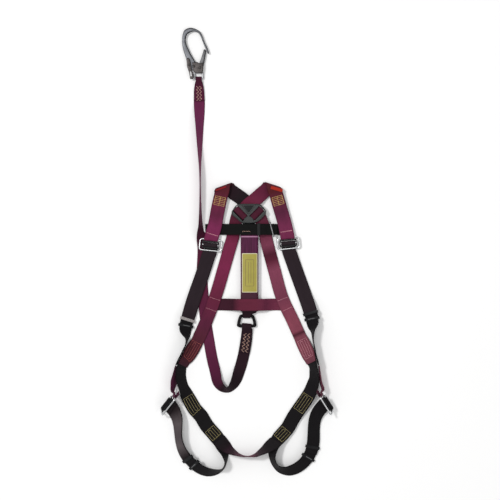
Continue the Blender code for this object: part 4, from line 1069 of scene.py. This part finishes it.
def make_looks():
    LOOKS["maroon"] = webbing_look("maroon_webbing_weave", (0.9, 0.4, 0.6), 0.12, 0.12)
    LOOKS["black"] = webbing_look("black_webbing_weave", (0.7, 0.66, 0.7), 0.05, 0.08)
    LOOKS["gold"] = thread_look("gold_thread", GOLD_THREAD)
    LOOKS["olive"] = thread_look("olive_thread", OLIVE_THREAD)
    LOOKS["pink"] = thread_look("pink_thread", PINK_THREAD)
    LOOKS["rust"] = thread_look("rust_thread", RUST_THREAD)
    LOOKS["sand"] = thread_look("sand_thread", SAND_THREAD)
    LOOKS["ring"] = steel_look("plated_ring_steel", (0.70, 0.71, 0.72), 0.22)
    LOOKS["bail"] = steel_look("bail_steel", (0.30, 0.30, 0.31), 0.34)
    LOOKS["pin"] = steel_look("pin_steel", (0.06, 0.056, 0.054), 0.5)
    # In each forged look the second colour is painted shade for the edges turned towards +X and +Y.
    LOOKS["hook"] = forged_look("hook_forged_steel", (0.17, 0.175, 0.19), (0.012, 0.012, 0.014), 0.45)
    LOOKS["gate"] = forged_look("hook_gate_steel", (0.15, 0.15, 0.155), (0.006, 0.006, 0.007), 0.45, 0.006)
    LOOKS["body"] = forged_look("hook_cover_steel", (0.098, 0.088, 0.086), (0.012, 0.011, 0.011), 0.5, 0.003)
    LOOKS["dark"] = steel_look("dark_link_steel", (0.012, 0.011, 0.012), 0.4, 0.4)
    LOOKS["plastic"] = moulded_look("black_moulding", (0.008, 0.008, 0.009))
    LOOKS["dorsal"] = moulded_look("dorsal_moulding", (0.018, 0.021, 0.021), 0.36, 1100.0, 0.3)
    LOOKS["paint"] = moulded_look("black_plate_paint", (0.008, 0.008, 0.009), 0.30, 2200.0)
    LOOKS["film"] = cover_look()
    LOOKS["label"] = label_look("yellow_label_tape", srgb(160, 150, 66))
    LOOKS["pale"] = label_look("pale_label_edge", srgb(214, 208, 178))
    LOOKS["mark"] = label_look("label_grid", srgb(92, 66, 62))
    LOOKS["elastic"] = elastic_look()
    LOOKS["tag"] = label_look("orange_tag_weave", srgb(158, 34, 14), 0.8)
    LOOKS["red"] = label_look("red_tag_weave", srgb(124, 14, 22), 0.8)


def lanyard():
    frames = lanyard_frames()
    strap = Strap("lanyard_strap", frames, LOOKS["maroon"], [
        ((1, 1), MAROON_BLACK), ((-2, -30), MAROON_BLACK), ((-20, -115), srgb(34, 14, 24)),
        ((-42, -174), srgb(18, 8, 14)), ((-62, -192), srgb(14, 6, 10)), ((-80, -186), srgb(24, 8, 16)),
        ((-90, -172), srgb(64, 18, 42)), ((-104, -125), srgb(76, 20, 50)), ((-123, -31), srgb(92, 32, 62)),
        ((-139, 86), srgb(84, 24, 52)), ((-144, 192), srgb(92, 28, 56)),
        ((-141.5, 262), srgb(74, 20, 46)), ((-148.3, 330), srgb(52, 12, 32)), ((-149, 410), srgb(96, 30, 66)),
        ((-151, 563), srgb(104, 34, 72)), ((-152, 666), srgb(102, 36, 74)), ((-153, 728), srgb(98, 32, 68)),
        ((-154, 740), srgb(60, 16, 36))],
        "maroon_webbing", columns=12)
    lower = Strap("lanyard_eye_lower", sewn_eye(LINK_BAR, LINK_ROD, frames, LOWER_EYE), LOOKS["maroon"],
                  plain(MAROON_BLACK), "maroon_webbing")
    bail = (HOOK_BAIL[0], HOOK_BAIL[1], sum(HOOK_Z) / 2)
    upper = Strap("lanyard_eye_upper", sewn_eye(bail, BAIL_ROD, frames[::-1], UPPER_EYE), LOOKS["maroon"],
                  [(0.0, srgb(54, 14, 32)), (1.0, srgb(76, 22, 48))], "maroon_webbing")
    sewn = []
    for eye, y0, y1, turns, reach in ((lower, -14.0, -72.0, 5, 4.6), (upper, 780.0, 735.0, 4, 3.6)):
        x = eye.middle[-1, 0]
        a, b = eye.find(x, y0), eye.find(x, y1)
        runs = []
        for across in (-1.3 * reach, 1.3 * reach):
            runs += zigzag(eye, a, b, across, reach, turns)
        sewn.append(stitching(eye.name + "_stitching", runs, LOOKS["sand"], THICK_THREAD))
    return strap, lower, upper, sewn


def hook_matrix(height):
    return Matrix.Translation(Vector((*HOOK_BAIL, height)))


COIL_RADIUS = 4.2
COIL_WIRE = 0.4
COIL_PITCH = 0.9


def coil(name, pin, bottom, turns, steps=20):
    """A spring's wire round a pin, its lowest turn resting at `bottom`."""
    points = []
    for k in range(int(turns * steps) + 1):
        angle = 2 * math.pi * k / steps
        points.append((pin[0] + COIL_RADIUS * math.cos(angle), pin[1] + COIL_RADIUS * math.sin(angle),
                       bottom + COIL_WIRE + k / steps * COIL_PITCH))
    piece = rod(name + "_wire", points, COIL_WIRE, LOOKS["pin"], hook_matrix(0.0), sides=3)
    return finish_piece(piece, "hook", (name,))


def hook():
    low, high = HOOK_Z
    mid, thick = (low + high) / 2, high - low
    face = thick / 2 + GAP + COVER_PLATE / 2
    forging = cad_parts["hook_frame"]
    forging.data.materials.clear()
    forging.data.materials.append(LOOKS["hook"])
    pieces = [forging]
    cover = [(-21, 50), (-14, 51), (-6, 52), (2, 48), (14, 50), (15, 36), (13, 17), (-11, 17), (-15.5, 24),
             (-18.5, 34)]
    holes = [circle(GATE_PIN, PIN + GAP), circle(RIVET, PIN + GAP)]
    for name, height in (("top", mid + face), ("bottom", mid - face)):
        made = plate("hook_side_plate_" + name, [cover] + holes, COVER_PLATE, hook_matrix(height), LOOKS["body"], 0.5)
        pieces.append(finish_piece(made, "hook", ("hook_cover_" + name,)))
    gate = [(1, 26.5), (9, 26.5), (14, 34), (20, 60), (24, 88), (20.5, 94), (16.5, 92), (9, 66), (0, 44), (-1.5, 34)]
    made = plate("hook_gate_channel", [gate, circle(GATE_PIN, PIN + GAP)], GATE_THICK, hook_matrix(low + GATE_MIDDLE),
                 LOOKS["gate"], 1.2)
    pieces.append(finish_piece(made, "hook_gate", ("hook_gate",)))
    lever = [(-39, 62), (-34, 66), (-28, 61), (-25, 50), (-23, 40), (-22, 26), (-16, 14), (-15.5, 1), (-20, -3),
             (-27, -3), (-30, 16), (-37, 38)]
    slot = [(-26.0, 6), (-21.5, 6), (-23.5, 22), (-27.5, 22)]
    made = plate("hook_lever_plate", [lever, slot, circle(LEVER_PIN, PIN + GAP)], COVER_PLATE,
                 hook_matrix(mid + face), LOOKS["body"], 0.6)
    pieces.append(finish_piece(made, "hook_lever", ("hook_lever",)))
    top = high + GAP + COVER_PLATE + 0.4
    for name, (x, y) in (("hook_pin_gate", GATE_PIN), ("hook_pin_rivet", RIVET), ("hook_pin_lever", LEVER_PIN)):
        profile = [(0.0, PIN_BOTTOM), (2.4, PIN_BOTTOM), (PIN, PIN_BOTTOM + 0.4), (PIN, top - 0.5), (4.1, top - 0.4),
                   (4.3, top), (3.9, top + 0.6), (2.4, top + 1.1), (0.9, top + 1.25), (0.0, top + 1.25)]
        made = turned(name + "_head", profile, (x + HOOK_BAIL[0], y + HOOK_BAIL[1], 0.0), LOOKS["pin"])
        pieces.append(finish_piece(made, "hook", (name,)))
    bail = [(x, y + BAIL_SIZE[1] / 2, 0.0) for x, y in box_points(*BAIL_SIZE, BAIL_CORNER)]
    made = rod("hook_bail_rod", bail, BAIL_ROD, LOOKS["bail"], hook_matrix(mid), closed=True)
    pieces.append(finish_piece(made, "hook", ("hook_bail",)))
    pieces.append(coil("hook_gate_spring", GATE_PIN, low + 6.3, 2.0))
    pieces.append(coil("hook_lever_spring", LEVER_PIN, 1.5, 1.0))
    return pieces


def webbing():
    maroon, black = LOOKS["maroon"], LOOKS["black"]
    left = Strap("shoulder_strap_left", shoulder_strap_left(), maroon, [
        ((-109, 319, False), MAROON), ((-106, 330), srgb(114, 37, 76)), ((-98, 365), srgb(92, 30, 58)),
        ((-91, 396), srgb(98, 32, 60)), ((-82, 446), srgb(80, 24, 34)), ((-55, 448, False), srgb(34, 15, 24)),
        # The dark stop at (32, 373), where the strap goes through the dorsal plate's slots, is painted shadow.
        ((-17, 420), srgb(22, 13, 18)), ((5, 400), srgb(28, 13, 20)), ((32, 373), srgb(70, 22, 40)),
        ((57, 314), srgb(106, 42, 64)), ((66, 272), srgb(116, 54, 76)), ((72, 240), srgb(74, 22, 40)),
        ((80, 224), srgb(84, 26, 46)), ((90, 190), ROSE), ((113, 102), srgb(112, 52, 72)),
        ((149, 25), srgb(130, 64, 80)), ((162, -4), srgb(126, 62, 78)), ((165, -14), srgb(70, 26, 38)),
        ((169, -24), srgb(120, 62, 76)), ((189, -60), srgb(124, 66, 78)), ((204, -100), srgb(106, 56, 68))],
        "maroon_webbing")
    right = Strap("shoulder_strap_right", shoulder_strap_right(), maroon, [
        ((124, 326, False), MAROON), ((122, 332), srgb(106, 38, 70)), ((110, 375), srgb(84, 30, 56)),
        ((100, 415), srgb(90, 32, 52)), ((90, 446), srgb(76, 22, 28)), ((64, 451, False), srgb(88, 26, 50)),
        # The dark stop at (-22, 373), where the strap goes through the dorsal plate's slots, is painted shadow.
        ((28, 419), srgb(100, 32, 58)), ((5, 400), srgb(100, 28, 54)), ((-22, 373), srgb(70, 22, 40)),
        ((-41, 318), srgb(90, 26, 48)), ((-51, 278), srgb(114, 35, 66)), ((-74, 198), srgb(114, 34, 68)),
        ((-101, 107), srgb(98, 31, 56)), ((-135, 17), srgb(82, 27, 52)), ((-160, -38), srgb(76, 30, 42)),
        ((-187, -82), srgb(72, 30, 38)), ((-205, -110), srgb(56, 24, 34))], "maroon_webbing")
    thigh_left = Strap("thigh_strap_left", THIGH_LEFT, black, plain(BLACK), "black_webbing")
    thigh_right = Strap("thigh_strap_right", THIGH_RIGHT, black, plain(BLACK), "black_webbing")
    # The lighter stops from 0.80 to 0.985 on the left leg strap are painted highlight, where its face turns towards the
    # light.
    Strap("leg_strap_left", LEG_STRAP_LEFT, black, [
        (0.0, BLACK), (0.77, BLACK), (0.80, BLACK_WARM), (0.85, PAINTED_SHEEN_GREY), (0.90, srgb(70, 62, 66)),
        (0.94, PAINTED_SHEEN_GREY), (0.985, BLACK_WARM), (1.0, BLACK)], "black_webbing")
    Strap("leg_strap_right", LEG_STRAP_RIGHT, black, plain(BLACK), "black_webbing")
    for name, frames in (("front_strap_left", FRONT_STRAP_LEFT), ("front_strap_right", FRONT_STRAP_RIGHT)):
        Strap(name, frames, black, [(0.0, BLACK_DULL), (0.5, BLACK_DULL), (0.62, BLACK), (1.0, BLACK)],
              "black_webbing")
    Strap("hip_tab_left", hip_tab(LEG_LEFT, [
        (-227.5, -114, 1.0, 86, 34), (-230, -140, 1.0, 72, 40), (-233, -164, 1.2, 62, 42),
        (-238, -196, 8.0, 72, 30)], -1.0), maroon,
        [(0.0, srgb(58, 18, 40)), (0.4, srgb(84, 24, 58)), (1.0, srgb(60, 20, 42))], "maroon_webbing")
    Strap("hip_tab_right", hip_tab(LEG_RIGHT, [
        (230, -114, 1.0, -88, 36), (233, -144, 1.0, -84, 40), (237, -170, 1.2, -80, 38),
        (243, -192, 8.0, -76, 30)], 1.0), maroon,
        [(0.0, srgb(96, 40, 58)), (0.5, srgb(92, 34, 52)), (1.0, srgb(60, 22, 36))], "maroon_webbing")
    Strap("seat_strap", seat_strap(), maroon, [
        ((-90, -353), BLACK), ((-68, -373), srgb(22, 14, 18)), ((-58, -381), srgb(34, 14, 26)),
        ((-45, -389), srgb(18, 8, 12)), ((-14, -402), srgb(66, 16, 34)), ((14, -402), srgb(74, 16, 34)),
        ((28, -399), srgb(40, 10, 20)), ((40, -392), BLACK), ((94, -356), BLACK)], "maroon_webbing")
    Strap("lumbar_strap", lie([
        (-118, 81, 0.6, 0), (-100, 81, 0.6, 0), (-84, 81, 0.8, 0), (-54, 81, 10.0, 0), (-33, 81, 22.6, 0),
        (-20, 81, 25.1, 0), (-8, 81, 25.3, 0), (24, 81, 25.3, 0), (36, 81, 25.1, 0), (49, 81, 22.6, 0),
        (68, 81, 9.0, 0), (89, 81, 0.8, 0), (106, 81, 0.6, 0), (130, 81, 0.6, 0)], 38.0), maroon,
        [((-118, 81), srgb(58, 20, 36)), ((-46, 81), srgb(52, 18, 32)), ((-24, 81), srgb(92, 32, 52)),
         ((30, 81), srgb(96, 34, 54)), ((60, 81), srgb(98, 38, 62)), ((130, 81), srgb(104, 42, 62))],
        "maroon_webbing")
    runs = {"gold": [], "olive": [], "pink": [], "rust": []}
    runs["olive"] += sewn_box(thigh_left, -177, -238, 58, 34) + sewn_box(thigh_left, -105, -335, 50, 34)
    runs["olive"] += sewn_box(thigh_right, 179, -235, 59, 34) + sewn_box(thigh_right, 110, -336, 50, 34)
    for strap, x, y in ((left, -86, 411), (right, 100, 415)):
        middle = strap.find(x, y)
        for i in range(6):
            at = middle + (i - 2.5) * 5.6
            runs["gold"].append(seam(strap, at, at, -16.5, 16.5))
        runs["gold"] += [seam(strap, middle - 14, middle + 14, u, u) for u in (-16.5, 0.0, 16.5)]
    runs["pink"] += bar_tack(left, -110, 305, 38) + bar_tack(right, 127, 315, 38)
    runs["rust"] += sewn_box(right, -172, -70, 62, 30)
    runs["pink"] += sewn_box(left, 189, -60, 62, 30)
    for strap, x in ((left, 113), (right, -107)):
        for y in (99, 65):
            runs["pink"] += bar_tack(strap, x + (97 - y) * 0.4 * (1 if x > 0 else -1), y, 34, 1)
    for colour, found in runs.items():
        stitching(colour + "_stitching", found, LOOKS[colour], THICK_THREAD if colour == "gold" else THREAD)


def chest():
    black = LOOKS["black"]
    band_left = Strap("chest_strap_left", lie([
        (-134, 322, 3.5, 0), (-104, 322, 3.5, 0), (-87, 322, 4.2, 0), (-62, 322, 16.5, 0), (-38, 322, 22.5, 0),
        (-22, 322, 26.4, 0), (-11, 322, CHEST_HIGH, 0), (18, 322, CHEST_HIGH, 0), (44, 322, CHEST_HIGH, 0),
        (54, 322, 26.0, 0), (66, 322, 22.8, 0), (76, 322, 21.8, 0), (86, 322, 21.8, 0)],
        CHEST_WEB, 12.0), black, plain(CHEST_BLACK), "black_webbing", waves=0.0)
    row = seam(band_left, band_left.find(-15, 322), band_left.find(12, 322), 6.5, 6.5)
    stitching("chest_stitching", [row], LOOKS["sand"])
    bar = Vector(SLIDE_LOW)
    axis = Vector(SLIDE_AXIS).normalized()
    loop = SLIDE_ROD + 2 * GAP + WEB_THICK / 2
    frames = lie([(139, 322, 3.5, 0), (112, 322, 3.5, 0), (98, 322, 5.2, 0), (86, 322, 12.4, 0)], CHEST_WEB, 12.0)
    frames += around(bar, axis, (0.2, 0, -1), loop, 200.0, CHEST_WEB, 6)
    frames += lie([(91, 322, 17.0, 0), (96, 322, 12.6, 0)], CHEST_WEB, 12.0)
    Strap("chest_strap_right", frames, black, plain(CHEST_BLACK), "black_webbing", waves=0.0)
    rise = Vector(SLIDE_HIGH) - bar
    upright = frame_matrix(bar + rise / 2, axis, axis.cross(rise))
    corners = [(x, y, 0.0) for x, y in box_points(2 * SLIDE_HALF, rise.length, SLIDE_CORNER)]
    piece = rod("chest_slide_wire", corners, SLIDE_ROD, LOOKS["bail"], upright, closed=True)
    finish_piece(piece, "harness", ("chest_slider",))
    across = frame_matrix((38.0, 322.0, CHEST_HIGH + 1.6), (0, 1, 0), (1, 0, 0))
    piece = band("chest_elastic", across, (CHEST_WEB + 1.5, 4.4), ELASTIC_WALL, 10.0, LOOKS["plastic"])
    finish_piece(piece, "chest_keeper", ("chest_keeper",))


def buckle(prefix, matrix):
    width, height = RING_SPAN
    ring = [(x, y, 0.0) for x, y in box_points(width, height, 7.0)]
    piece = rod(prefix + "_ring_rod", ring, RING_ROD, LOOKS["ring"], matrix, closed=True, sides=6)
    finish_piece(piece, "harness", (prefix + "_ring",))
    lifted = matrix @ Matrix.Translation((0.0, 0.0, PLATE_LIFT))
    outlines = [box_points(PLATE_SIZE[0], PLATE_SIZE[1], 3.0), box_points(*PLATE_WINDOW, 1.0)]
    piece = plate(prefix + "_slotted_plate", outlines, PLATE_SIZE[2], lifted, LOOKS["paint"], 0.6)
    finish_piece(piece, "harness", (prefix + "_plate",))
    points = [place_in(matrix, hand * BAR_LENGTH / 2, 0.0, BAR_LIFT) for hand in (-1, -0.5, 0, 0.5, 1)]
    piece = rod(prefix + "_bar_rod", points, BAR_ROD, LOOKS["ring"], sides=6)
    finish_piece(piece, prefix + "_bar", (prefix + "_bar",))


SLIDE_WALL = 2.0
ELASTIC_WALL = 1.2
TONGUE_HALF = 12.0     # half the metal tongue moulded into an end slide


def keepers():
    """An elastic keeper and a moulded end slide on each front strap and each leg strap."""
    doubled_inner = (WEB + 2.4, 2 * WEB_THICK + 3.2)
    single_inner = (WEB + 2.4, WEB_THICK + 3.6)
    for side, main, loop_at, slide_at in (
            ("front_%s_left", FRONT_MAIN_LEFT, (-191, 33), (-195.5, 14)),
            ("front_%s_right", FRONT_MAIN_RIGHT, (203, 58), (208.5, 32)),
            ("leg_%s_left", LEG_MAIN_LEFT, (-189, -411), (-169, -431)),
            ("leg_%s_right", LEG_MAIN_RIGHT, (207, -376), (195, -407))):
        place = strap_matrix(main, nearest(main, *loop_at), LAYER / 2)
        look = LOOKS["elastic"] if side == "front_%s_left" else LOOKS["plastic"]
        piece = band(side % "elastic", place, doubled_inner, ELASTIC_WALL, 9.0, look)
        finish_piece(piece, "harness", (side % "keeper",))
        place = strap_matrix(main, nearest(main, *slide_at))
        piece = band(side % "slide", place, single_inner, SLIDE_WALL, 9.0, LOOKS["plastic"])
        finish_piece(piece, "harness", (side % "slider",))
        top = math.copysign(single_inner[1] / 2 + SLIDE_WALL, place.col[1].z)
        ends = [(half * TONGUE_HALF, top, 0.0) for half in (-1.0, 0.0, 1.0)]
        piece = rod(side % "tongue", ends, 1.0, LOOKS["bail"], place, sides=4)
        finish_piece(piece)


def dorsal():
    centre = Vector((*DORSAL_CENTRE, DORSAL_HEIGHT))
    outline = [(-54, 8), (-41, 27), (-28, 32.5), (28, 32.5), (42, 28), (54, 14), (55.5, 2), (36, -19),
               (18, -28.5), (-20, -28.5), (-38, -15), (-52, -3)]
    outlines = [outline]
    for hand in (1.0, -1.0):
        down = Vector((hand, -1.0)).normalized()
        along = Vector((hand, 1.0)).normalized()
        for step in (-1.0, 1.0):
            middle = Vector((hand * BRIDGE_OFFSET[0], BRIDGE_OFFSET[1])) + down * step * (BRIDGE_HALF + SLOT_WIDTH / 2)
            outlines.append([tuple(middle + along * a * SLOT_LENGTH / 2 + down * b * SLOT_WIDTH / 2)
                             for a, b in ((-1, -1), (1, -1), (1, 1), (-1, 1))])
    piece = plate("dorsal_moulding", outlines, DORSAL_THICK, Matrix.Translation(centre), LOOKS["dorsal"], 0.8)
    finish_piece(piece, "harness", ("dorsal_plate",))
    rim = [(x * 0.965, y * 0.945, DORSAL_THICK / 2) for x, y in outline]
    piece = rod("dorsal_rim", smooth_loop(rim, 4), 1.5, LOOKS["dorsal"], Matrix.Translation(centre), closed=True)
    finish_piece(piece)
    for hand in (-1.0, 1.0):
        rib = [(hand * x, y, DORSAL_THICK / 2 + 0.3) for x, y in ((22.0, 29.0), (11.0, 14.0), (1.5, 0.0))]
        finish_piece(rod("dorsal_rib", rib, 1.3, LOOKS["dorsal"], Matrix.Translation(centre)))
    web = [(-17, 27.5), (17, 27.5), (1.2, 4.5), (-1.2, 4.5)]
    piece = plate("dorsal_web", [web], 0.8, Matrix.Translation(centre + Vector((0, 0, DORSAL_THICK / 2))),
                  LOOKS["plastic"], 0.2)
    finish_piece(piece)
    points = [(DEE_HALF, 0.0), (-DEE_HALF, 0.0)]
    for hand, start in ((-1.0, math.pi), (1.0, 1.5 * math.pi)):
        for k in range(11):
            angle = start + math.pi / 2 * k / 10
            points.append((hand * (DEE_HALF - DEE_CORNER) + DEE_CORNER * math.cos(angle),
                           DEE_CORNER - DEE_DEPTH + DEE_CORNER * math.sin(angle)))
    fall = (DEE_TIP_HEIGHT - DEE_BAR_HEIGHT) / DEE_DEPTH
    dee = [(DEE_MIDDLE + x, DEE_BAR_Y + y, DEE_BAR_HEIGHT - y * fall) for x, y in points]
    finish_piece(rod("dorsal_dee", dee, DEE_ROD, LOOKS["ring"], closed=True, sides=8), "harness",
                 ("dorsal_ring",))


def absorber():
    x0, x1 = ABSORBER_X
    y0, y1 = ABSORBER_Y
    z0, z1 = ABSORBER_Z
    width, long, height = x1 - x0, y1 - y0, z1 - z0
    ring, rows = 48, 90
    points, faces = [], []
    for r in range(rows + 1):
        t = r / rows
        y = y0 + long * t
        pinch = 1.0 - 0.10 * math.exp(-((t * long) / 9.0) ** 2) - 0.12 * math.exp(-(((1 - t) * long) / 12.0) ** 2)
        for k in range(ring):
            a = 2 * math.pi * k / ring
            ca, sa = math.cos(a), math.sin(a)
            px = math.copysign(abs(ca) ** 0.28, ca) * width / 2
            pz = math.copysign(abs(sa) ** 0.42, sa) * height / 2 * pinch
            wave = noise.noise(Vector((px * 0.05, y * 0.035, sa * 2.0))) * 0.9
            wrinkle = noise.noise(Vector((px * 0.12, y * 0.16, 9.0))) * 0.5
            inward = 1.0 - (wave + wrinkle + 0.8) * 0.02
            points.append(((x0 + x1) / 2 + px * (1 - 0.01 * (1 + wave)), y, (z0 + z1) / 2 + pz * inward))
    for r in range(rows):
        for k in range(ring):
            a, b = r * ring + k, r * ring + (k + 1) % ring
            faces.append((a, b, b + ring, a + ring))
    faces.append(tuple(range(ring - 1, -1, -1)))
    faces.append(tuple(range(rows * ring, (rows + 1) * ring)))
    mesh = bpy.data.meshes.new("absorber_film")
    mesh.from_pydata([(x * MM, y * MM, z * MM) for x, y, z in points], [], faces)
    mesh.materials.append(LOOKS["film"])
    mesh.shade_smooth()
    mesh.set_sharp_from_angle(angle=math.radians(50))
    finish_piece(link("absorber_film", mesh), "harness",
                 ("absorber_cover", "absorber_core"))
    label = Matrix.Translation((8.5, 183.0, z1 + 0.5))
    piece = plate("label_backing", [box_points(49.0, 125.0, 2.0)], 0.7, label, LOOKS["pale"], 0.2)
    finish_piece(piece, "harness", ("absorber_label",))
    piece = plate("label_face", [box_points(45.5, 121.0, 1.5)], 0.5, label @ Matrix.Translation((0, 0, 0.3)),
                  LOOKS["label"], 0.15)
    finish_piece(piece)
    for x, y, wide, long in ((-13.0, 0.0, 0.9, 84.0), (13.0, 0.0, 0.9, 84.0), (0.0, 42.0, 26.0, 0.9),
                             (0.0, -42.0, 26.0, 0.9), (-4.0, 0.0, 0.8, 68.0), (4.0, 0.0, 0.8, 68.0)):
        line = plate("label_rule", [box_points(wide, long, 0.2, 2)], 0.4,
                     label @ Matrix.Translation((x, y, 0.45)), LOOKS["mark"], 0.05)
        finish_piece(line)
    side = Vector((1, 0, 0))
    loop = DEE_ROD + GAP + WEB_THICK / 2
    tip = Vector((DEE_MIDDLE, DEE_BAR_Y - DEE_DEPTH, DEE_TIP_HEIGHT))
    frames = [(Vector((8.0, 304.8, 10.9)), side, 35.0), (Vector((8.0, 318.0, 5.6)), side, 32.0),
              (Vector((7.0, 330.0, 1.75)), side, 24.0)]
    frames += around(tip, side, (0, 0, -1), loop, 180.0, 24.0)
    frames += [(Vector((8.0, 322.0, 14.0)), side, 30.0), (Vector((8.0, 304.8, 13.8)), side, 35.0)]
    Strap("absorber_top_loop", frames, LOOKS["black"], plain(BLACK), "black_webbing", waves=0.0)
    tail_bar = Vector((-1.0, 45.0, 8.3))
    loop = LINK_ROD + GAP + WEB_THICK / 2
    frames = [(Vector((x, y, z)), side, wide) for x, y, z, wide in ((8.0, 65.0, 10.9, 49.0), (5.0, 56.0, 6.0, 42.0))]
    frames += around(tail_bar, side, (0, 0, -1), loop, -180.0, 24.0)
    frames += [(Vector((x, y, z)), side, wide) for x, y, z, wide in ((5.0, 56.0, 13.6, 42.0), (8.0, 65.0, 13.8, 49.0))]
    Strap("absorber_tail_loop", frames, LOOKS["black"], plain(MAROON_BLACK), "black_webbing",
          waves=0.0)
    corners = [(-15.0, 45.0, 8.3), (13.0, 45.0, 8.3), (20.0, 39.0, 8.1), (25.0, 19.0, 8.3), (21.0, 13.0, 8.4),
               (-23.0, 13.0, 8.4), (-27.0, 19.0, 8.3), (-22.0, 39.0, 8.1)]
    piece = rod("delta_link", smooth_loop(corners, 5), LINK_ROD, LOOKS["dark"], closed=True, sides=6)
    finish_piece(piece, "harness", ("connecting_link",))


def tags():
    for name, middle, turn, size, look in (
            ("shoulder_tag_right", (95.0, 451.0, 20.4), -16.0, (39.0, 10.0), "tag"),
            ("shoulder_tag_left", (-83.5, 452.5, 20.4), 19.5, (36.0, 5.5), "red")):
        place = Matrix.Translation(middle) @ Matrix.Rotation(math.radians(turn), 4, "Z")
        piece = plate(name + "_cloth", [box_points(*size, 1.5)], 1.2, place, LOOKS[look], 0.3)
        finish_piece(piece, "harness", (name,))


LEG_MAIN_LEFT, LEG_STRAP_LEFT = leg_strap(LEG_LEFT, LEG_LEFT_STATIONS, (-189, -411))
LEG_MAIN_RIGHT, LEG_STRAP_RIGHT = leg_strap(LEG_RIGHT, LEG_RIGHT_STATIONS, (203, -394))
THIGH_LEFT = sewn_thigh(THIGH_LEFT_TOP, LEG_MAIN_LEFT, (-97, -345))
THIGH_RIGHT = sewn_thigh(THIGH_RIGHT_TOP, LEG_MAIN_RIGHT, (100, -350))
THIGH_LEFT_START = THIGH_LEFT[:nearest(THIGH_LEFT, -207, -113) + 1]
THIGH_RIGHT_START = THIGH_RIGHT[:nearest(THIGH_RIGHT, 207, -104) + 1]
FRONT_MAIN_LEFT, FRONT_STRAP_LEFT = front_strap(CHEST_LEFT, FRONT_LEFT_STATIONS, (-191, 33))
FRONT_MAIN_RIGHT, FRONT_STRAP_RIGHT = front_strap(CHEST_RIGHT, FRONT_RIGHT_STATIONS, (204, 56))

camera()
make_looks()
studio()
strap, lower, upper, sewn = lanyard()
on_cord = [lower.object, upper.object, *sewn, *hook()]
webbing()
chest()
for prefix, place in (("shoulder_left", CHEST_LEFT), ("shoulder_right", CHEST_RIGHT), ("leg_left", LEG_LEFT),
                      ("leg_right", LEG_RIGHT)):
    buckle(prefix, place)
keepers()
dorsal()
absorber()
tags()
